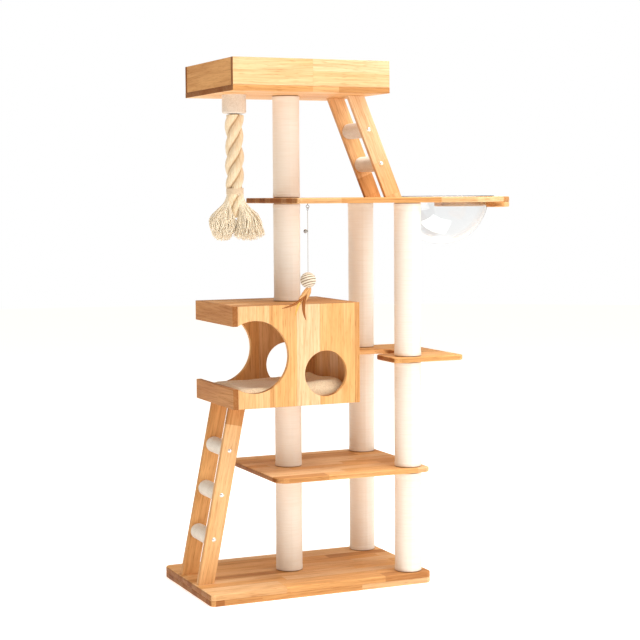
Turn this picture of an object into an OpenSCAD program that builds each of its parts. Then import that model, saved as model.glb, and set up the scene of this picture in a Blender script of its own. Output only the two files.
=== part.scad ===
// Tall cat tree of laminated wood boards on canvas-wrapped posts, with an open-ended house, two ladders,
// a clear lift-out bowl, a top tray, a hanging rope and a feather toy on a string.
// Origin: centre of the base's underside. +X right, +Y away from the front, +Z up. Millimetres.

/* [Base and boards] */
// Width of the base
base_w = 800; // [700:10:960]
// Depth of the base, the shelves and the deck
depth = 476; // [440:2:570]
// Thickness of each of the base's two layers
base_layer_t = 20; // [16:1:24]
// Thickness of every shelf, wall and tray board
board_t = 18; // [15:1:22]
// Radius of the plan corners of the boards
corner_r = 20; // [8:1:30]
// Radius of the middle shelf's large front left corner
big_corner_r = 46; // [20:1:60]

/* [Posts] */
// Outside diameter of a wrapped post
post_d = 90; // [75:1:108]
// Thickness of the canvas wrap
wrap_t = 2; // [1.5:0.5:4]
// Wall of the post's core tube
core_wall = 5; // [3:0.5:8]
// Thickness of the plugs in a post's ends
plug_t = 20; // [14:1:26]
// Distance of the left post's axis from the centre of the base, to the left
left_post_out = 28; // [0:1:60]
// Distance of the right posts' axes from the base's right edge
right_post_inset = 64; // [55:1:80]
// Distance of the right posts' axes from the boards' front and back edges
post_edge_inset = 53; // [50:1:66]
// Height of the posts between the base and the middle shelf
low_post_h = 342; // [280:1:420]
// Height of the post between the middle shelf and the house
house_post_h = 228; // [190:1:280]
// Height of the posts between the middle shelf and the step shelf
step_post_h = 359; // [300:1:430]
// Height of the post between the house and the deck
deck_post_h = 331; // [280:1:400]
// Height of the post between the deck and the tray
top_post_h = 343; // [290:1:412]

/* [Middle and step shelves] */
// How far the middle shelf reaches left of the left post's axis
middle_left = 137; // [110:1:170]
// How far the middle shelf reaches right of the right posts' axes
middle_right = 60; // [55:1:64]
// How far the step shelf reaches left of the right posts' axes
step_left = 74; // [60:1:90]
// How far the step shelf reaches right of the right posts' axes
step_right = 190; // [150:1:230]
// Width of the bite in the step shelf, front to back
bite_w = 168; // [140:1:180]
// Depth of the bite in the step shelf
bite_d = 120; // [90:1:140]
// Radius of the bite's inner corners
bite_r = 50; // [20:1:60]

/* [House] */
// Width of the house
house_w = 454; // [420:1:545]
// Depth of the house
house_d = 360; // [310:1:420]
// Height of the house
house_h = 337; // [300:1:404]
// How far the house reaches left of the left post's axis
house_left = 267; // [240:1:320]
// Height of the two strips that frame the open end
strip_h = 66; // [50:1:72]
// Radius of the large doorway in the front and back panels
door_r = 119; // [100:1:125]
// Distance of the doorway's centre from the open end
door_in = 78; // [70:1:90]
// Radius of the round window in the front and back panels
window_r = 76; // [60:1:80]
// Distance of the window's centre from the open end
window_in = 330; // [320:1:335]
// Height of the window's centre over the house's underside
window_up = 104; // [100:1:120]
// Thickness of the house's mat
mat_t = 34; // [20:1:40]
// Gap between the mat and the walls
mat_gap = 5; // [2:1:10]

/* [Deck and bowl] */
// How far the deck reaches left of the left post's axis
deck_left = 60; // [55:1:90]
// Distance of the bowl's axis from the right posts' axes
bowl_out = 228; // [200:1:260]
// Outside radius of the bowl
bowl_r = 165; // [137:1:175]
// Wall of the bowl
bowl_wall = 3.5; // [3:0.5:6]
// Width of the bowl's flange outside its hole
flange_w = 18; // [12:1:24]
// Width of the stiffening ring under the deck's round end
rim_w = 53; // [40:1:56]
// Distance from the bowl's axis to the ends of the stiffening ring
rim_cut = 88; // [60:1:120]

/* [Tray] */
// Width of the tray
tray_w = 553; // [500:1:620]
// Depth of the tray
tray_d = 460; // [400:1:500]
// Height of the tray
tray_h = 106; // [88:1:127]
// How far the tray reaches left of the left post's axis
tray_left = 276; // [250:1:300]

/* [Ladders] */
// Width of a ladder over its rails
ladder_w = 180; // [150:1:216]
// Width of a ladder's rail
rail_w = 56; // [48:1:66]
// Outside diameter of a wrapped rung
rung_d = 53; // [44:1:60]
// Thickness of the rungs' plush wrap
plush_t = 3; // [2:0.5:4]
// Distance of the lower ladder's feet from the base's left edge
lower_foot_in = 36; // [34:1:60]
// Distance of the lower ladder's head from the open end of the house
lower_head_in = 49; // [40:1:80]
// Distance of the upper ladder's feet to the left of the right posts' axes
upper_foot_back = 3; // [0:1:30]
// Distance of the upper ladder's head from the tray's right edge
upper_head_in = 57; // [50:1:80]
// Rungs of the lower ladder
lower_rungs = 3; // [2:1:4]
// Rungs of the upper ladder
upper_rungs = 2; // [1:1:2]

/* [Rope] */
// Distance of the rope's axis from the tray's left edge
rope_in = 90; // [70:1:110]
// Diameter of the rope
rope_d = 57; // [45:1:62]
// Diameter of the rope's wrapped holder
holder_d = 80; // [70:1:96]
// Height of the rope's holder
holder_h = 62; // [50:1:74]

/* [Toy] */
// Distance of the toy's string to the left of the left post's axis
toy_left = 14; // [0:1:40]
// Distance of the toy's string from the deck's front edge
toy_in = 25; // [20:1:28]
// Diameter of the toy's ball
ball_d = 52; // [42:1:56]
// Diameter of the bell
bell_d = 13; // [10:1:16]
// Height of the bell over the ball's centre
bell_up = 160; // [100:1:180]

/* [Fasteners and fits] */
// Diameter of the bolts and studs through the posts
bolt_d = 8; // [6:1:10]
// Diameter of a bolt's flat head
bolt_head_d = 16; // [14:1:20]
// Height of a bolt's flat head
bolt_head_h = 5; // [4:0.5:6]
// Diameter of the dowels in the house and the tray
dowel_d = 8; // [6:1:10]
// Length of a dowel
dowel_l = 26; // [20:1:28]
// Diameter of a wood screw
screw_d = 4; // [3:0.5:5]
// Gap round glued, threaded and pressed pieces
fit_gap = 0.1; // [0.05:0.05:0.2]
// Gap round a bolt where it passes through a board
bolt_gap = 0.5; // [0.3:0.1:0.8]
// Gap between pieces that move past each other
run_gap = 0.3; // [0.2:0.1:0.5]
// Gap between the bowl and its hole
bowl_gap = 2; // [1:0.5:3]

/* [Hidden] */
$fn = 96;
eps = 1;

wood = "burlywood";
light_wood = "navajowhite";
canvas = "linen";
plush = "tan";
steel = "silver";

// Heights, from the floor up
base_top = 2 * base_layer_t;
middle_z = base_top + low_post_h;
middle_top = middle_z + board_t;
house_z = middle_top + house_post_h;
house_top_z = house_z + house_h;
step_z = middle_top + step_post_h;
step_top = step_z + board_t;
deck_z = house_top_z + deck_post_h;
deck_top = deck_z + board_t;
tray_z = deck_top + top_post_h;
tray_floor = tray_z + board_t;
tray_top = tray_z + tray_h;

// Places across
left_x = -left_post_out;
right_x = base_w / 2 - right_post_inset;
side_y = depth / 2 - post_edge_inset;
house_x = left_x - house_left;
house_end = house_x + house_w;
deck_x = left_x - deck_left;
bowl_x = right_x + bowl_out;
tray_x = left_x - tray_left;
tray_end = tray_x + tray_w;
bowl_hole_r = bowl_r + bowl_gap;

// Posts: [x, y, underside, height]
low_left = [left_x, 0, base_top, low_post_h];
low_rear = [right_x, side_y, base_top, low_post_h];
low_right = [right_x, -side_y, base_top, low_post_h];
mid_left = [left_x, 0, middle_top, house_post_h];
mid_rear = [right_x, side_y, middle_top, step_post_h];
mid_right = [right_x, -side_y, middle_top, step_post_h];
high_left = [left_x, 0, house_top_z, deck_post_h];
high_rear = [right_x, side_y, step_top, deck_z - step_top];
high_right = [right_x, -side_y, step_top, deck_z - step_top];
top_left = [left_x, 0, deck_top, top_post_h];
LOW_POSTS = [low_left, low_rear, low_right];
MID_POSTS = [mid_left, mid_rear, mid_right];
HIGH_POSTS = [high_left, high_rear, high_right];
ALL_POSTS = concat(LOW_POSTS, MID_POSTS, HIGH_POSTS, [top_left]);
core_r = post_d / 2 - wrap_t - fit_gap;
plug_r = core_r - core_wall - fit_gap;
bolt_r = bolt_d / 2;
thread_in = plug_t + 3;

// Bolts with heads: [x, y, face under the head, grip through the boards, 1 points up or -1 down]
recess = bolt_head_h + 1;
POST_BOLTS = concat(
    [for (p = LOW_POSTS) [p[0], p[1], recess, base_top - recess, 1]],
    [[left_x, 0, house_z + board_t - recess, board_t - recess, -1],
     [left_x, 0, house_top_z - board_t + recess, board_t - recess, 1],
     [right_x, side_y, deck_top - recess, board_t - recess, -1],
     [right_x, -side_y, deck_top - recess, board_t - recess, -1],
     [left_x, 0, tray_floor - recess, board_t - recess, -1]]);
// Studs that join the posts over and under a board: [x, y, underside of the board]
STUDS = [[left_x, 0, middle_z], [right_x, side_y, middle_z], [right_x, -side_y, middle_z],
         [right_x, side_y, step_z], [right_x, -side_y, step_z], [left_x, 0, deck_z]];

// Dowels of the house, all along X: [x of the joint, y, z, 1 into the right wall or -1 into a left strip]
panel_y = (house_d - board_t) / 2;
inner_y = house_d / 4;
floor_mid_z = house_z + board_t / 2;
roof_mid_z = house_top_z - board_t / 2;
dowel_in_wall = 11;
HOUSE_DOWELS = concat(
    [for (y = [-panel_y, panel_y], z = [strip_h / 2, house_h - strip_h / 2])
        [house_x + board_t, y, house_z + z, -1]],
    [for (y = [-panel_y, panel_y], z = [strip_h / 2, house_h - strip_h / 2])
        [house_end - board_t, y, house_z + z, 1]],
    [for (y = [-inner_y, inner_y], z = [floor_mid_z, roof_mid_z]) [house_x + board_t, y, z, -1]],
    [for (y = [-inner_y, inner_y], z = [floor_mid_z, roof_mid_z]) [house_end - board_t, y, z, 1]]);

// Ladders: [foot x, foot z, head x, head z, rungs]
lower_ladder = [-base_w / 2 + lower_foot_in, base_top, house_x + lower_head_in, house_z, lower_rungs];
upper_ladder = [right_x - upper_foot_back, deck_top, tray_end - upper_head_in, tray_z, upper_rungs];
LADDERS = [lower_ladder, upper_ladder];
rung_l = ladder_w - 2 * board_t;
rung_core_r = rung_d / 2 - plush_t - fit_gap;
cap_d = 16;
cap_h = 5;
ladder_bolt_in = 30;

// Wood screws: [x, y, z of the head's outer face, length, 1 points up or -1 down]
screw_head_r = 4.5;
screw_head_h = 2.5;
screw_bite = 26;
rail_y = (ladder_w - board_t) / 2;
rim_mid_r = depth / 2 - rim_w / 2;
rope_x = tray_x + rope_in;
SCREWS = concat(
    [for (y = [-rail_y, rail_y]) [lower_ladder[0], y, 0, base_top + screw_bite, 1]],
    [for (y = [-rail_y, rail_y]) [lower_ladder[2], y, house_z + board_t, board_t + screw_bite, -1]],
    [for (y = [-rail_y, rail_y]) [upper_ladder[0], y, deck_z, board_t + screw_bite, 1]],
    [for (y = [-rail_y, rail_y]) [upper_ladder[2], y, tray_floor, board_t + screw_bite, -1]],
    [for (a = [-48, -16, 16, 48])
        [bowl_x + rim_mid_r * cos(a), rim_mid_r * sin(a), deck_z - board_t, 2 * board_t - 4, 1]],
    [[rope_x, 0, tray_floor, board_t + holder_h / 2, -1]]);

// Rope: its route drops from the centre of its round top end
rope_r = rope_d / 2;
rope_pivot_z = tray_z - holder_h - run_gap - rope_r;
rope_route = [[0, 0, 0], [0, 0, -55], [0, 0, -110], [0, 0, -165], [0, 0, -218]];
binding_h = 22;
tuft_splay = -24;
tuft_l = 154;

// Toy: an eye screw, a ring through it, and a string from the ring to the ball
toy_x = left_x - toy_left;
toy_y = -depth / 2 + toy_in;
eye_r = 5;
eye_wire_r = 1.2;
eye_neck = 4;
ring_r = 5;
ring_wire_r = 0.9;
eye_z = deck_z - eye_neck - eye_r - eye_wire_r;
ring_z = eye_z - eye_r + eye_wire_r + ring_wire_r + run_gap - ring_r;
string_z = ring_z - ring_r - ring_wire_r - run_gap;
string_r = 1;
string_route = [[0, 0, 0], [0, 0, -40], [0, 0, -80], [0, 0, -120], [0, 0, -160], [0, 0, -200]];
ball_r = ball_d / 2;
ball_z = string_z + string_route[len(string_route) - 1][2] - ball_r - fit_gap;

// ---- Shared shapes ----

// A rectangle from (x0, y0) to (x1, y1) with corner radii front left, front right, back right, back left
module rounded_plan(x0, x1, y0, y1, r) {
    places = [[x0, y0, 0], [x1, y0, 90], [x1, y1, 180], [x0, y1, 270]];
    difference() {
        translate([x0, y0]) square([x1 - x0, y1 - y0]);
        for (i = [0 : 3])
            if (r[i] > 0)
                translate([places[i][0], places[i][1]]) rotate(places[i][2]) difference() {
                    translate([-eps, -eps]) square(r[i] + eps);
                    translate([r[i], r[i]]) circle(r[i]);
                }
    }
}

module shelf_board(x0, x1, z, t, r) {
    translate([0, 0, z]) linear_extrude(t) rounded_plan(x0, x1, -depth / 2, depth / 2, r);
}

// A closed tube of the given radius along a downward route, with radii[i] at point i
module swept_tube(route, radii, sides) {
    n = len(route);
    points = [for (i = [0 : n - 1], k = [0 : sides - 1])
        route[i] + radii[i] * [cos(360 * k / sides), sin(360 * k / sides), 0]];
    walls = [for (i = [0 : n - 2], k = [0 : sides - 1])
        let (a = i * sides + k, b = i * sides + (k + 1) % sides) [a, b, b + sides, a + sides]];
    ends = [[for (k = [sides - 1 : -1 : 0]) k], [for (k = [0 : sides - 1]) (n - 1) * sides + k]];
    polyhedron(points, concat(walls, ends), convexity = 4);
}

// ---- Posts and their fasteners ----

module post_wrap(p) {
    color(canvas) translate([p[0], p[1], p[2]]) difference() {
        cylinder(h = p[3], d = post_d);
        translate([0, 0, -eps]) cylinder(h = p[3] + 2 * eps, r = post_d / 2 - wrap_t);
    }
}

module post_cores(posts) {
    color("peru") for (p = posts)
        translate([p[0], p[1], p[2]]) difference() {
            cylinder(h = p[3], r = core_r);
            translate([0, 0, -eps]) cylinder(h = p[3] + 2 * eps, r = core_r - core_wall);
        }
}

module post_plugs() {
    color(light_wood) for (p = ALL_POSTS, z = [p[2], p[2] + p[3] - plug_t])
        translate([p[0], p[1], z]) difference() {
            cylinder(h = plug_t, r = plug_r);
            translate([0, 0, -eps]) cylinder(h = plug_t + 2 * eps, r = bolt_r + fit_gap);
        }
}

module post_bolts() {
    color(steel) for (b = POST_BOLTS)
        translate([b[0], b[1], b[2]]) mirror([0, 0, b[4] < 0 ? 1 : 0]) {
            cylinder(h = b[3] + thread_in, r = bolt_r);
            translate([0, 0, -bolt_head_h]) cylinder(h = bolt_head_h, d = bolt_head_d);
        }
}

module joining_studs() {
    color(steel) for (s = STUDS)
        translate([s[0], s[1], s[2] - thread_in]) cylinder(h = board_t + 2 * thread_in, r = bolt_r);
}

// Everything that is drilled for the bolts, studs, screws and the eye screw
module fastener_holes() {
    for (b = POST_BOLTS)
        translate([b[0], b[1], b[2]]) mirror([0, 0, b[4] < 0 ? 1 : 0]) {
            translate([0, 0, -eps]) cylinder(h = b[3] + 2 * eps, r = bolt_r + bolt_gap);
            translate([0, 0, -recess - eps]) cylinder(h = recess + eps, d = bolt_head_d + 2 * bolt_gap);
        }
    for (s = STUDS)
        translate([s[0], s[1], s[2] - eps]) cylinder(h = board_t + 2 * eps, r = bolt_r + bolt_gap);
    screw_shapes(fit_gap);
    translate([toy_x, toy_y, deck_z - eps]) cylinder(h = 13 + eps, r = eye_wire_r + fit_gap);
}

// The wood screws, or their holes when gap is above 0
module screw_shapes(gap = 0) {
    for (s = SCREWS)
        translate([s[0], s[1], s[2]]) mirror([0, 0, s[4] < 0 ? 1 : 0]) {
            translate([0, 0, -gap]) cylinder(h = s[3] + 2 * gap, r = screw_d / 2 + gap);
            translate([0, 0, -gap]) cylinder(h = screw_head_h + 2 * gap, r = screw_head_r + gap);
        }
}

module wood_screws() {
    color(steel) screw_shapes();
}

// ---- Base and shelves ----

module base_layer(z) {
    color(wood) difference() {
        shelf_board(-base_w / 2, base_w / 2, z, base_layer_t, [corner_r, corner_r, corner_r, corner_r]);
        fastener_holes();
    }
}

module middle_shelf() {
    color(wood) difference() {
        shelf_board(left_x - middle_left, right_x + middle_right, middle_z, board_t,
            [big_corner_r, corner_r, corner_r, big_corner_r]);
        fastener_holes();
    }
}

module step_shelf() {
    x0 = right_x - step_left;
    color(wood) difference() {
        translate([0, 0, step_z]) linear_extrude(board_t) difference() {
            union() {
                rounded_plan(x0, right_x + step_right, -depth / 2, -bite_w / 2,
                    [corner_r, corner_r, 0, corner_r]);
                rounded_plan(x0, right_x + step_right, bite_w / 2, depth / 2,
                    [corner_r, 0, corner_r, corner_r]);
                translate([x0 + bite_d - bite_r, -bite_w / 2 - eps])
                    square([step_left + step_right - bite_d + bite_r, bite_w + 2 * eps]);
            }
            rounded_plan(x0 - bite_d, x0 + bite_d, -bite_w / 2, bite_w / 2, [0, bite_r, bite_r, 0]);
        }
        fastener_holes();
    }
}

module deck() {
    color(wood) difference() {
        translate([0, 0, deck_z]) linear_extrude(board_t) difference() {
            union() {
                rounded_plan(deck_x, bowl_x, -depth / 2, depth / 2, [corner_r, 0, 0, corner_r]);
                translate([bowl_x, 0]) circle(depth / 2, $fn = 180);
            }
            translate([bowl_x, 0]) circle(bowl_hole_r, $fn = 180);
        }
        fastener_holes();
    }
}

module deck_rim() {
    color(wood) difference() {
        translate([bowl_x, 0, deck_z - board_t]) linear_extrude(board_t) intersection() {
            difference() {
                circle(depth / 2, $fn = 180);
                circle(depth / 2 - rim_w, $fn = 180);
            }
            translate([rim_cut, -depth]) square([depth, 2 * depth]);
        }
        fastener_holes();
    }
}

module bowl() {
    color("azure", 0.4) translate([bowl_x, 0, deck_top]) rotate_extrude($fn = 180) {
        intersection() {
            difference() {
                circle(bowl_r, $fn = 180);
                circle(bowl_r - bowl_wall, $fn = 180);
            }
            translate([0, -bowl_r - eps]) square([bowl_r + eps, bowl_r + eps + bowl_wall / 2]);
        }
        translate([bowl_r - bowl_wall, 0]) square([bowl_wall + bowl_gap + flange_w, bowl_wall]);
    }
}

// ---- House ----

module house_dowel_shapes(gap = 0) {
    for (d = HOUSE_DOWELS)
        translate([d[0] + (d[3] > 0 ? dowel_in_wall - dowel_l : -dowel_in_wall) - gap, d[1], d[2]])
            rotate([0, 90, 0]) cylinder(h = dowel_l + 2 * gap, r = dowel_d / 2 + gap);
}

module house_dowels() {
    color(light_wood) house_dowel_shapes();
}

// The front or back panel, with its outer face at the given side, -1 front or 1 back
module house_panel(side) {
    panel_w = house_w - 2 * board_t;
    color(wood) difference() {
        translate([house_x + board_t, side * panel_y + board_t / 2, house_z]) rotate([90, 0, 0])
            linear_extrude(board_t) difference() {
                square([panel_w, house_h]);
                translate([door_in - board_t, house_h / 2]) circle(door_r, $fn = 180);
                translate([window_in - board_t, window_up]) circle(window_r, $fn = 120);
            }
        house_dowel_shapes(fit_gap);
    }
}

// The floor or roof board, between the panels and the end pieces
module house_board(z) {
    color(wood) difference() {
        translate([house_x + board_t, -house_d / 2 + board_t, z])
            cube([house_w - 2 * board_t, house_d - 2 * board_t, board_t]);
        house_dowel_shapes(fit_gap);
        fastener_holes();
    }
}

// An end piece: the right wall, or a strip of the open end
module house_end_piece(x, z, h) {
    color(wood) difference() {
        translate([x, -house_d / 2, z]) cube([board_t, house_d, h]);
        house_dowel_shapes(fit_gap);
    }
}

module house_mat() {
    x0 = house_x + board_t + mat_gap;
    x1 = house_end - board_t - mat_gap;
    y1 = house_d / 2 - board_t - mat_gap;
    color(plush) translate([0, 0, house_z + board_t]) linear_extrude(mat_t)
        rounded_plan(x0, x1, -y1, y1, [corner_r, corner_r, corner_r, corner_r]);
}

// ---- Tray ----

module tray_dowel_shapes(gap = 0) {
    r = dowel_d / 2 + gap;
    h = dowel_l + 2 * gap;
    wall_y = (tray_d - board_t) / 2;
    // Upright dowels between the bottom and the four walls
    for (x = [1 / 8, 3 / 8, 5 / 8, 7 / 8], y = [-wall_y, wall_y])
        translate([tray_x + tray_w * x, y, tray_floor - dowel_in_wall - gap]) cylinder(h = h, r = r);
    for (x = [tray_x + board_t / 2, tray_end - board_t / 2], y = [-tray_d / 4, 0, tray_d / 4])
        translate([x, y, tray_floor - dowel_in_wall - gap]) cylinder(h = h, r = r);
    // Level dowels through the corners
    for (x = [tray_x + board_t / 2, tray_end - board_t / 2], z = [0.45, 0.8], side = [-1, 1])
        translate([x, side * (tray_d / 2 - board_t + dowel_in_wall + gap), tray_floor
            + (tray_h - board_t) * z]) rotate([side * 90, 0, 0]) cylinder(h = h, r = r);
}

module tray_dowels() {
    color(light_wood) tray_dowel_shapes();
}

module tray_bottom() {
    color(wood) difference() {
        translate([tray_x, -tray_d / 2, tray_z]) cube([tray_w, tray_d, board_t]);
        tray_dowel_shapes(fit_gap);
        fastener_holes();
    }
}

module tray_wall(x, y, size_x, size_y) {
    color(light_wood) difference() {
        translate([x, y, tray_floor]) cube([size_x, size_y, tray_h - board_t]);
        tray_dowel_shapes(fit_gap);
    }
}

// ---- Ladders ----

// The point on a ladder's middle line where rung i crosses, as [x, z]
function rung_place(l, i) =
    [l[0], l[1]] + ([l[2], l[3]] - [l[0], l[1]]) * i / (l[4] + 1);

module ladder_rail(l, y) {
    half = rail_w / 2 / cos(atan2(abs(l[2] - l[0]), l[3] - l[1]));
    color(light_wood) difference() {
        translate([0, y + board_t, 0]) rotate([90, 0, 0]) linear_extrude(board_t)
            polygon([[l[0] - half, l[1]], [l[0] + half, l[1]], [l[2] + half, l[3]], [l[2] - half, l[3]]]);
        for (i = [1 : l[4]])
            translate([rung_place(l, i)[0], y - eps, rung_place(l, i)[1]]) rotate([-90, 0, 0])
                cylinder(h = board_t + 2 * eps, r = bolt_r + fit_gap);
        screw_shapes(fit_gap);
    }
}

module rungs(l) {
    for (i = [1 : l[4]])
        translate([rung_place(l, i)[0], 0, rung_place(l, i)[1]]) rotate([90, 0, 0]) children();
}

module rung_core() {
    difference() {
        cylinder(h = rung_l, r = rung_core_r, center = true);
        for (side = [-1, 1])
            translate([0, 0, side * rung_l / 2])
                cylinder(h = 2 * (ladder_bolt_in + fit_gap), r = bolt_r + fit_gap, center = true);
    }
}

module rung_wrap() {
    difference() {
        cylinder(h = rung_l, d = rung_d, center = true);
        cylinder(h = rung_l + 2 * eps, r = rung_d / 2 - plush_t, center = true);
    }
}

// Bolts with domed caps, through both rails into the rungs' ends
module ladder_bolts() {
    dome_r = (pow(cap_d / 2, 2) + cap_h * cap_h) / (2 * cap_h);
    color(steel) for (l = LADDERS) rungs(l) for (side = [0, 180])
        rotate([side, 0, 0]) translate([0, 0, ladder_w / 2]) {
            translate([0, 0, -board_t - ladder_bolt_in]) cylinder(h = board_t + ladder_bolt_in, r = bolt_r);
            intersection() {
                translate([0, 0, cap_h - dome_r]) sphere(dome_r);
                cylinder(h = cap_h + eps, d = cap_d);
            }
        }
}

// ---- Rope ----

module rope_holder() {
    color(light_wood) difference() {
        translate([rope_x, 0, tray_z - holder_h + plush_t])
            cylinder(h = holder_h - plush_t, r = holder_d / 2 - plush_t - fit_gap);
        screw_shapes(fit_gap);
    }
}

module rope_holder_wrap() {
    color(plush) translate([rope_x, 0, tray_z - holder_h]) difference() {
        cylinder(h = holder_h, d = holder_d);
        translate([0, 0, plush_t]) cylinder(h = holder_h, r = holder_d / 2 - plush_t);
    }
}

module rope() {
    dome = [80, 60, 40, 20];
    route = concat([for (a = dome) [0, 0, rope_r * sin(a)]], rope_route);
    radii = concat([for (a = dome) rope_r * cos(a)], [for (p = rope_route) rope_r]);
    color("cornsilk") translate([rope_x, 0, rope_pivot_z]) swept_tube(route, radii, 12);
}

module rope_binding() {
    drop = rope_route[len(rope_route) - 1][2];
    color("wheat") translate([rope_x, 0, rope_pivot_z + drop - binding_h]) {
        cylinder(h = binding_h, r = rope_r - 1);
    }
}

// One frayed end: a fan from the binding to two round lobes whose centres are out1 and out2 to the side
module tuft(out1, out2, r) {
    hull() {
        translate([0, 0, -1]) cylinder(h = 1, r = rope_r - 5, $fn = 32);
        translate([out1, 0, -tuft_l]) cylinder(h = tuft_l / 2, r = r, $fn = 32);
        translate([out2, 0, -tuft_l]) cylinder(h = tuft_l / 2, r = r, $fn = 32);
    }
}

// Two frayed ends that hang and splay under the binding
module rope_tufts() {
    drop = rope_route[len(rope_route) - 1][2] - binding_h;
    color("cornsilk") translate([rope_x, 0, rope_pivot_z + drop]) rotate([0, 0, tuft_splay]) {
        tuft(-36, -44, 34);
        tuft(36, 66, 36);
    }
}

// ---- Toy ----

module loop_of_wire(ring, wire) {
    rotate_extrude($fn = 48) translate([ring, 0]) circle(wire, $fn = 24);
}

module toy_eye_screw() {
    color(steel) {
        translate([toy_x, toy_y, eye_z]) rotate([90, 0, 0]) loop_of_wire(eye_r, eye_wire_r);
        translate([toy_x, toy_y, eye_z + eye_r]) cylinder(h = deck_z + 12 - eye_z - eye_r, r = eye_wire_r);
    }
}

module toy_ring() {
    color(steel) translate([toy_x, toy_y, ring_z]) rotate([0, 90, 0]) loop_of_wire(ring_r, ring_wire_r);
}

module toy_string() {
    color("white") translate([toy_x, toy_y, string_z])
        swept_tube(string_route, [for (p = string_route) string_r], 8);
}

module toy_bell() {
    loop_r = string_r + run_gap + 0.6;
    color(steel) translate([toy_x, toy_y, ball_z + bell_up]) {
        loop_of_wire(loop_r, 0.6);
        translate([-loop_r - bell_d / 2 + 0.3, 0, 0]) difference() {
            sphere(d = bell_d);
            translate([-bell_d, -0.6, -bell_d]) cube([2 * bell_d, 1.2, bell_d - 1]);
        }
    }
}

module toy_ball() {
    color("white") translate([toy_x, toy_y, ball_z]) sphere(ball_r);
}

// A flat feather along the curve from a past b to c, as wide as w at its middle
module feather(a, b, c, w) {
    steps = 10;
    function at(t) = (1 - t) * (1 - t) * a + 2 * t * (1 - t) * b + t * t * c;
    function across(t) = let (d = (1 - t) * (b - a) + t * (c - b)) [-d[1], d[0]] / norm(d);
    function half(t) = 1 + w / 2 * sin(180 * t);
    side_a = [for (i = [0 : steps]) let (t = i / steps) at(t) + half(t) * across(t)];
    side_b = [for (i = [steps : -1 : 0]) let (t = i / steps) at(t) - half(t) * across(t)];
    rotate([90, 0, 0]) linear_extrude(2, center = true) polygon(concat(side_a, side_b));
}

module toy_feathers() {
    color("sienna") translate([toy_x, toy_y, ball_z]) difference() {
        union() {
            feather([2, -20], [-2, -40], [-14, -62], 26);
            feather([0, -24], [-12, -76], [-92, -90], 8);
            feather([0, -24], [-28, -84], [-9, -132], 9);
            feather([-2, -24], [-30, -60], [-48, -118], 10);
        }
        sphere(ball_r + fit_gap);
    }
}

// ---- The pieces ----

base_layer(0);  // base_plinth
base_layer(base_layer_t);  // base_board
middle_shelf();
step_shelf();
deck();
deck_rim();
post_wrap(low_left);  // low_left_wrap
post_wrap(low_rear);  // low_rear_wrap
post_wrap(low_right);  // low_right_wrap
post_wrap(mid_left);  // mid_left_wrap
post_wrap(mid_rear);  // mid_rear_wrap
post_wrap(mid_right);  // mid_right_wrap
post_wrap(high_left);  // high_left_wrap
post_wrap(high_rear);  // high_rear_wrap
post_wrap(high_right);  // high_right_wrap
post_wrap(top_left);  // top_left_wrap
post_cores(LOW_POSTS);  // low_post_cores
post_cores(MID_POSTS);  // mid_post_cores
post_cores(HIGH_POSTS);  // high_post_cores
post_cores([top_left]);  // top_post_core
post_plugs();
post_bolts();
joining_studs();
house_board(house_z);  // house_floor
house_board(house_top_z - board_t);  // house_roof
house_panel(-1);  // house_front
house_panel(1);  // house_back
house_end_piece(house_end - board_t, house_z, house_h);  // house_right_wall
house_end_piece(house_x, house_top_z - strip_h, strip_h);  // house_upper_strip
house_end_piece(house_x, house_z, strip_h);  // house_lower_strip
house_dowels();
house_mat();
tray_bottom();
tray_wall(tray_x, -tray_d / 2, tray_w, board_t);  // tray_front
tray_wall(tray_x, tray_d / 2 - board_t, tray_w, board_t);  // tray_back
tray_wall(tray_x, -tray_d / 2 + board_t, board_t, tray_d - 2 * board_t);  // tray_left_side
tray_wall(tray_end - board_t, -tray_d / 2 + board_t, board_t, tray_d - 2 * board_t);  // tray_right_side
tray_dowels();
ladder_rail(lower_ladder, -ladder_w / 2);  // lower_front_rail
ladder_rail(lower_ladder, ladder_w / 2 - board_t);  // lower_rear_rail
color(light_wood) rungs(lower_ladder) rung_core();  // lower_rungs_core
color(plush) rungs(lower_ladder) rung_wrap();  // lower_rungs_wrap
ladder_rail(upper_ladder, -ladder_w / 2);  // upper_front_rail
ladder_rail(upper_ladder, ladder_w / 2 - board_t);  // upper_rear_rail
color(light_wood) rungs(upper_ladder) rung_core();  // upper_rungs_core
color(plush) rungs(upper_ladder) rung_wrap();  // upper_rungs_wrap
ladder_bolts();
wood_screws();
bowl();
rope_holder();
rope_holder_wrap();
rope();
rope_binding();
rope_tufts();
toy_eye_screw();
toy_ring();
toy_string();
toy_bell();
toy_ball();
toy_feathers();
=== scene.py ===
import math

import bmesh
import bpy
import numpy as np
from bpy.props import FloatProperty, FloatVectorProperty, IntProperty, PointerProperty
from mathutils import Matrix, Vector
from mathutils.geometry import tessellate_polygon


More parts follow.
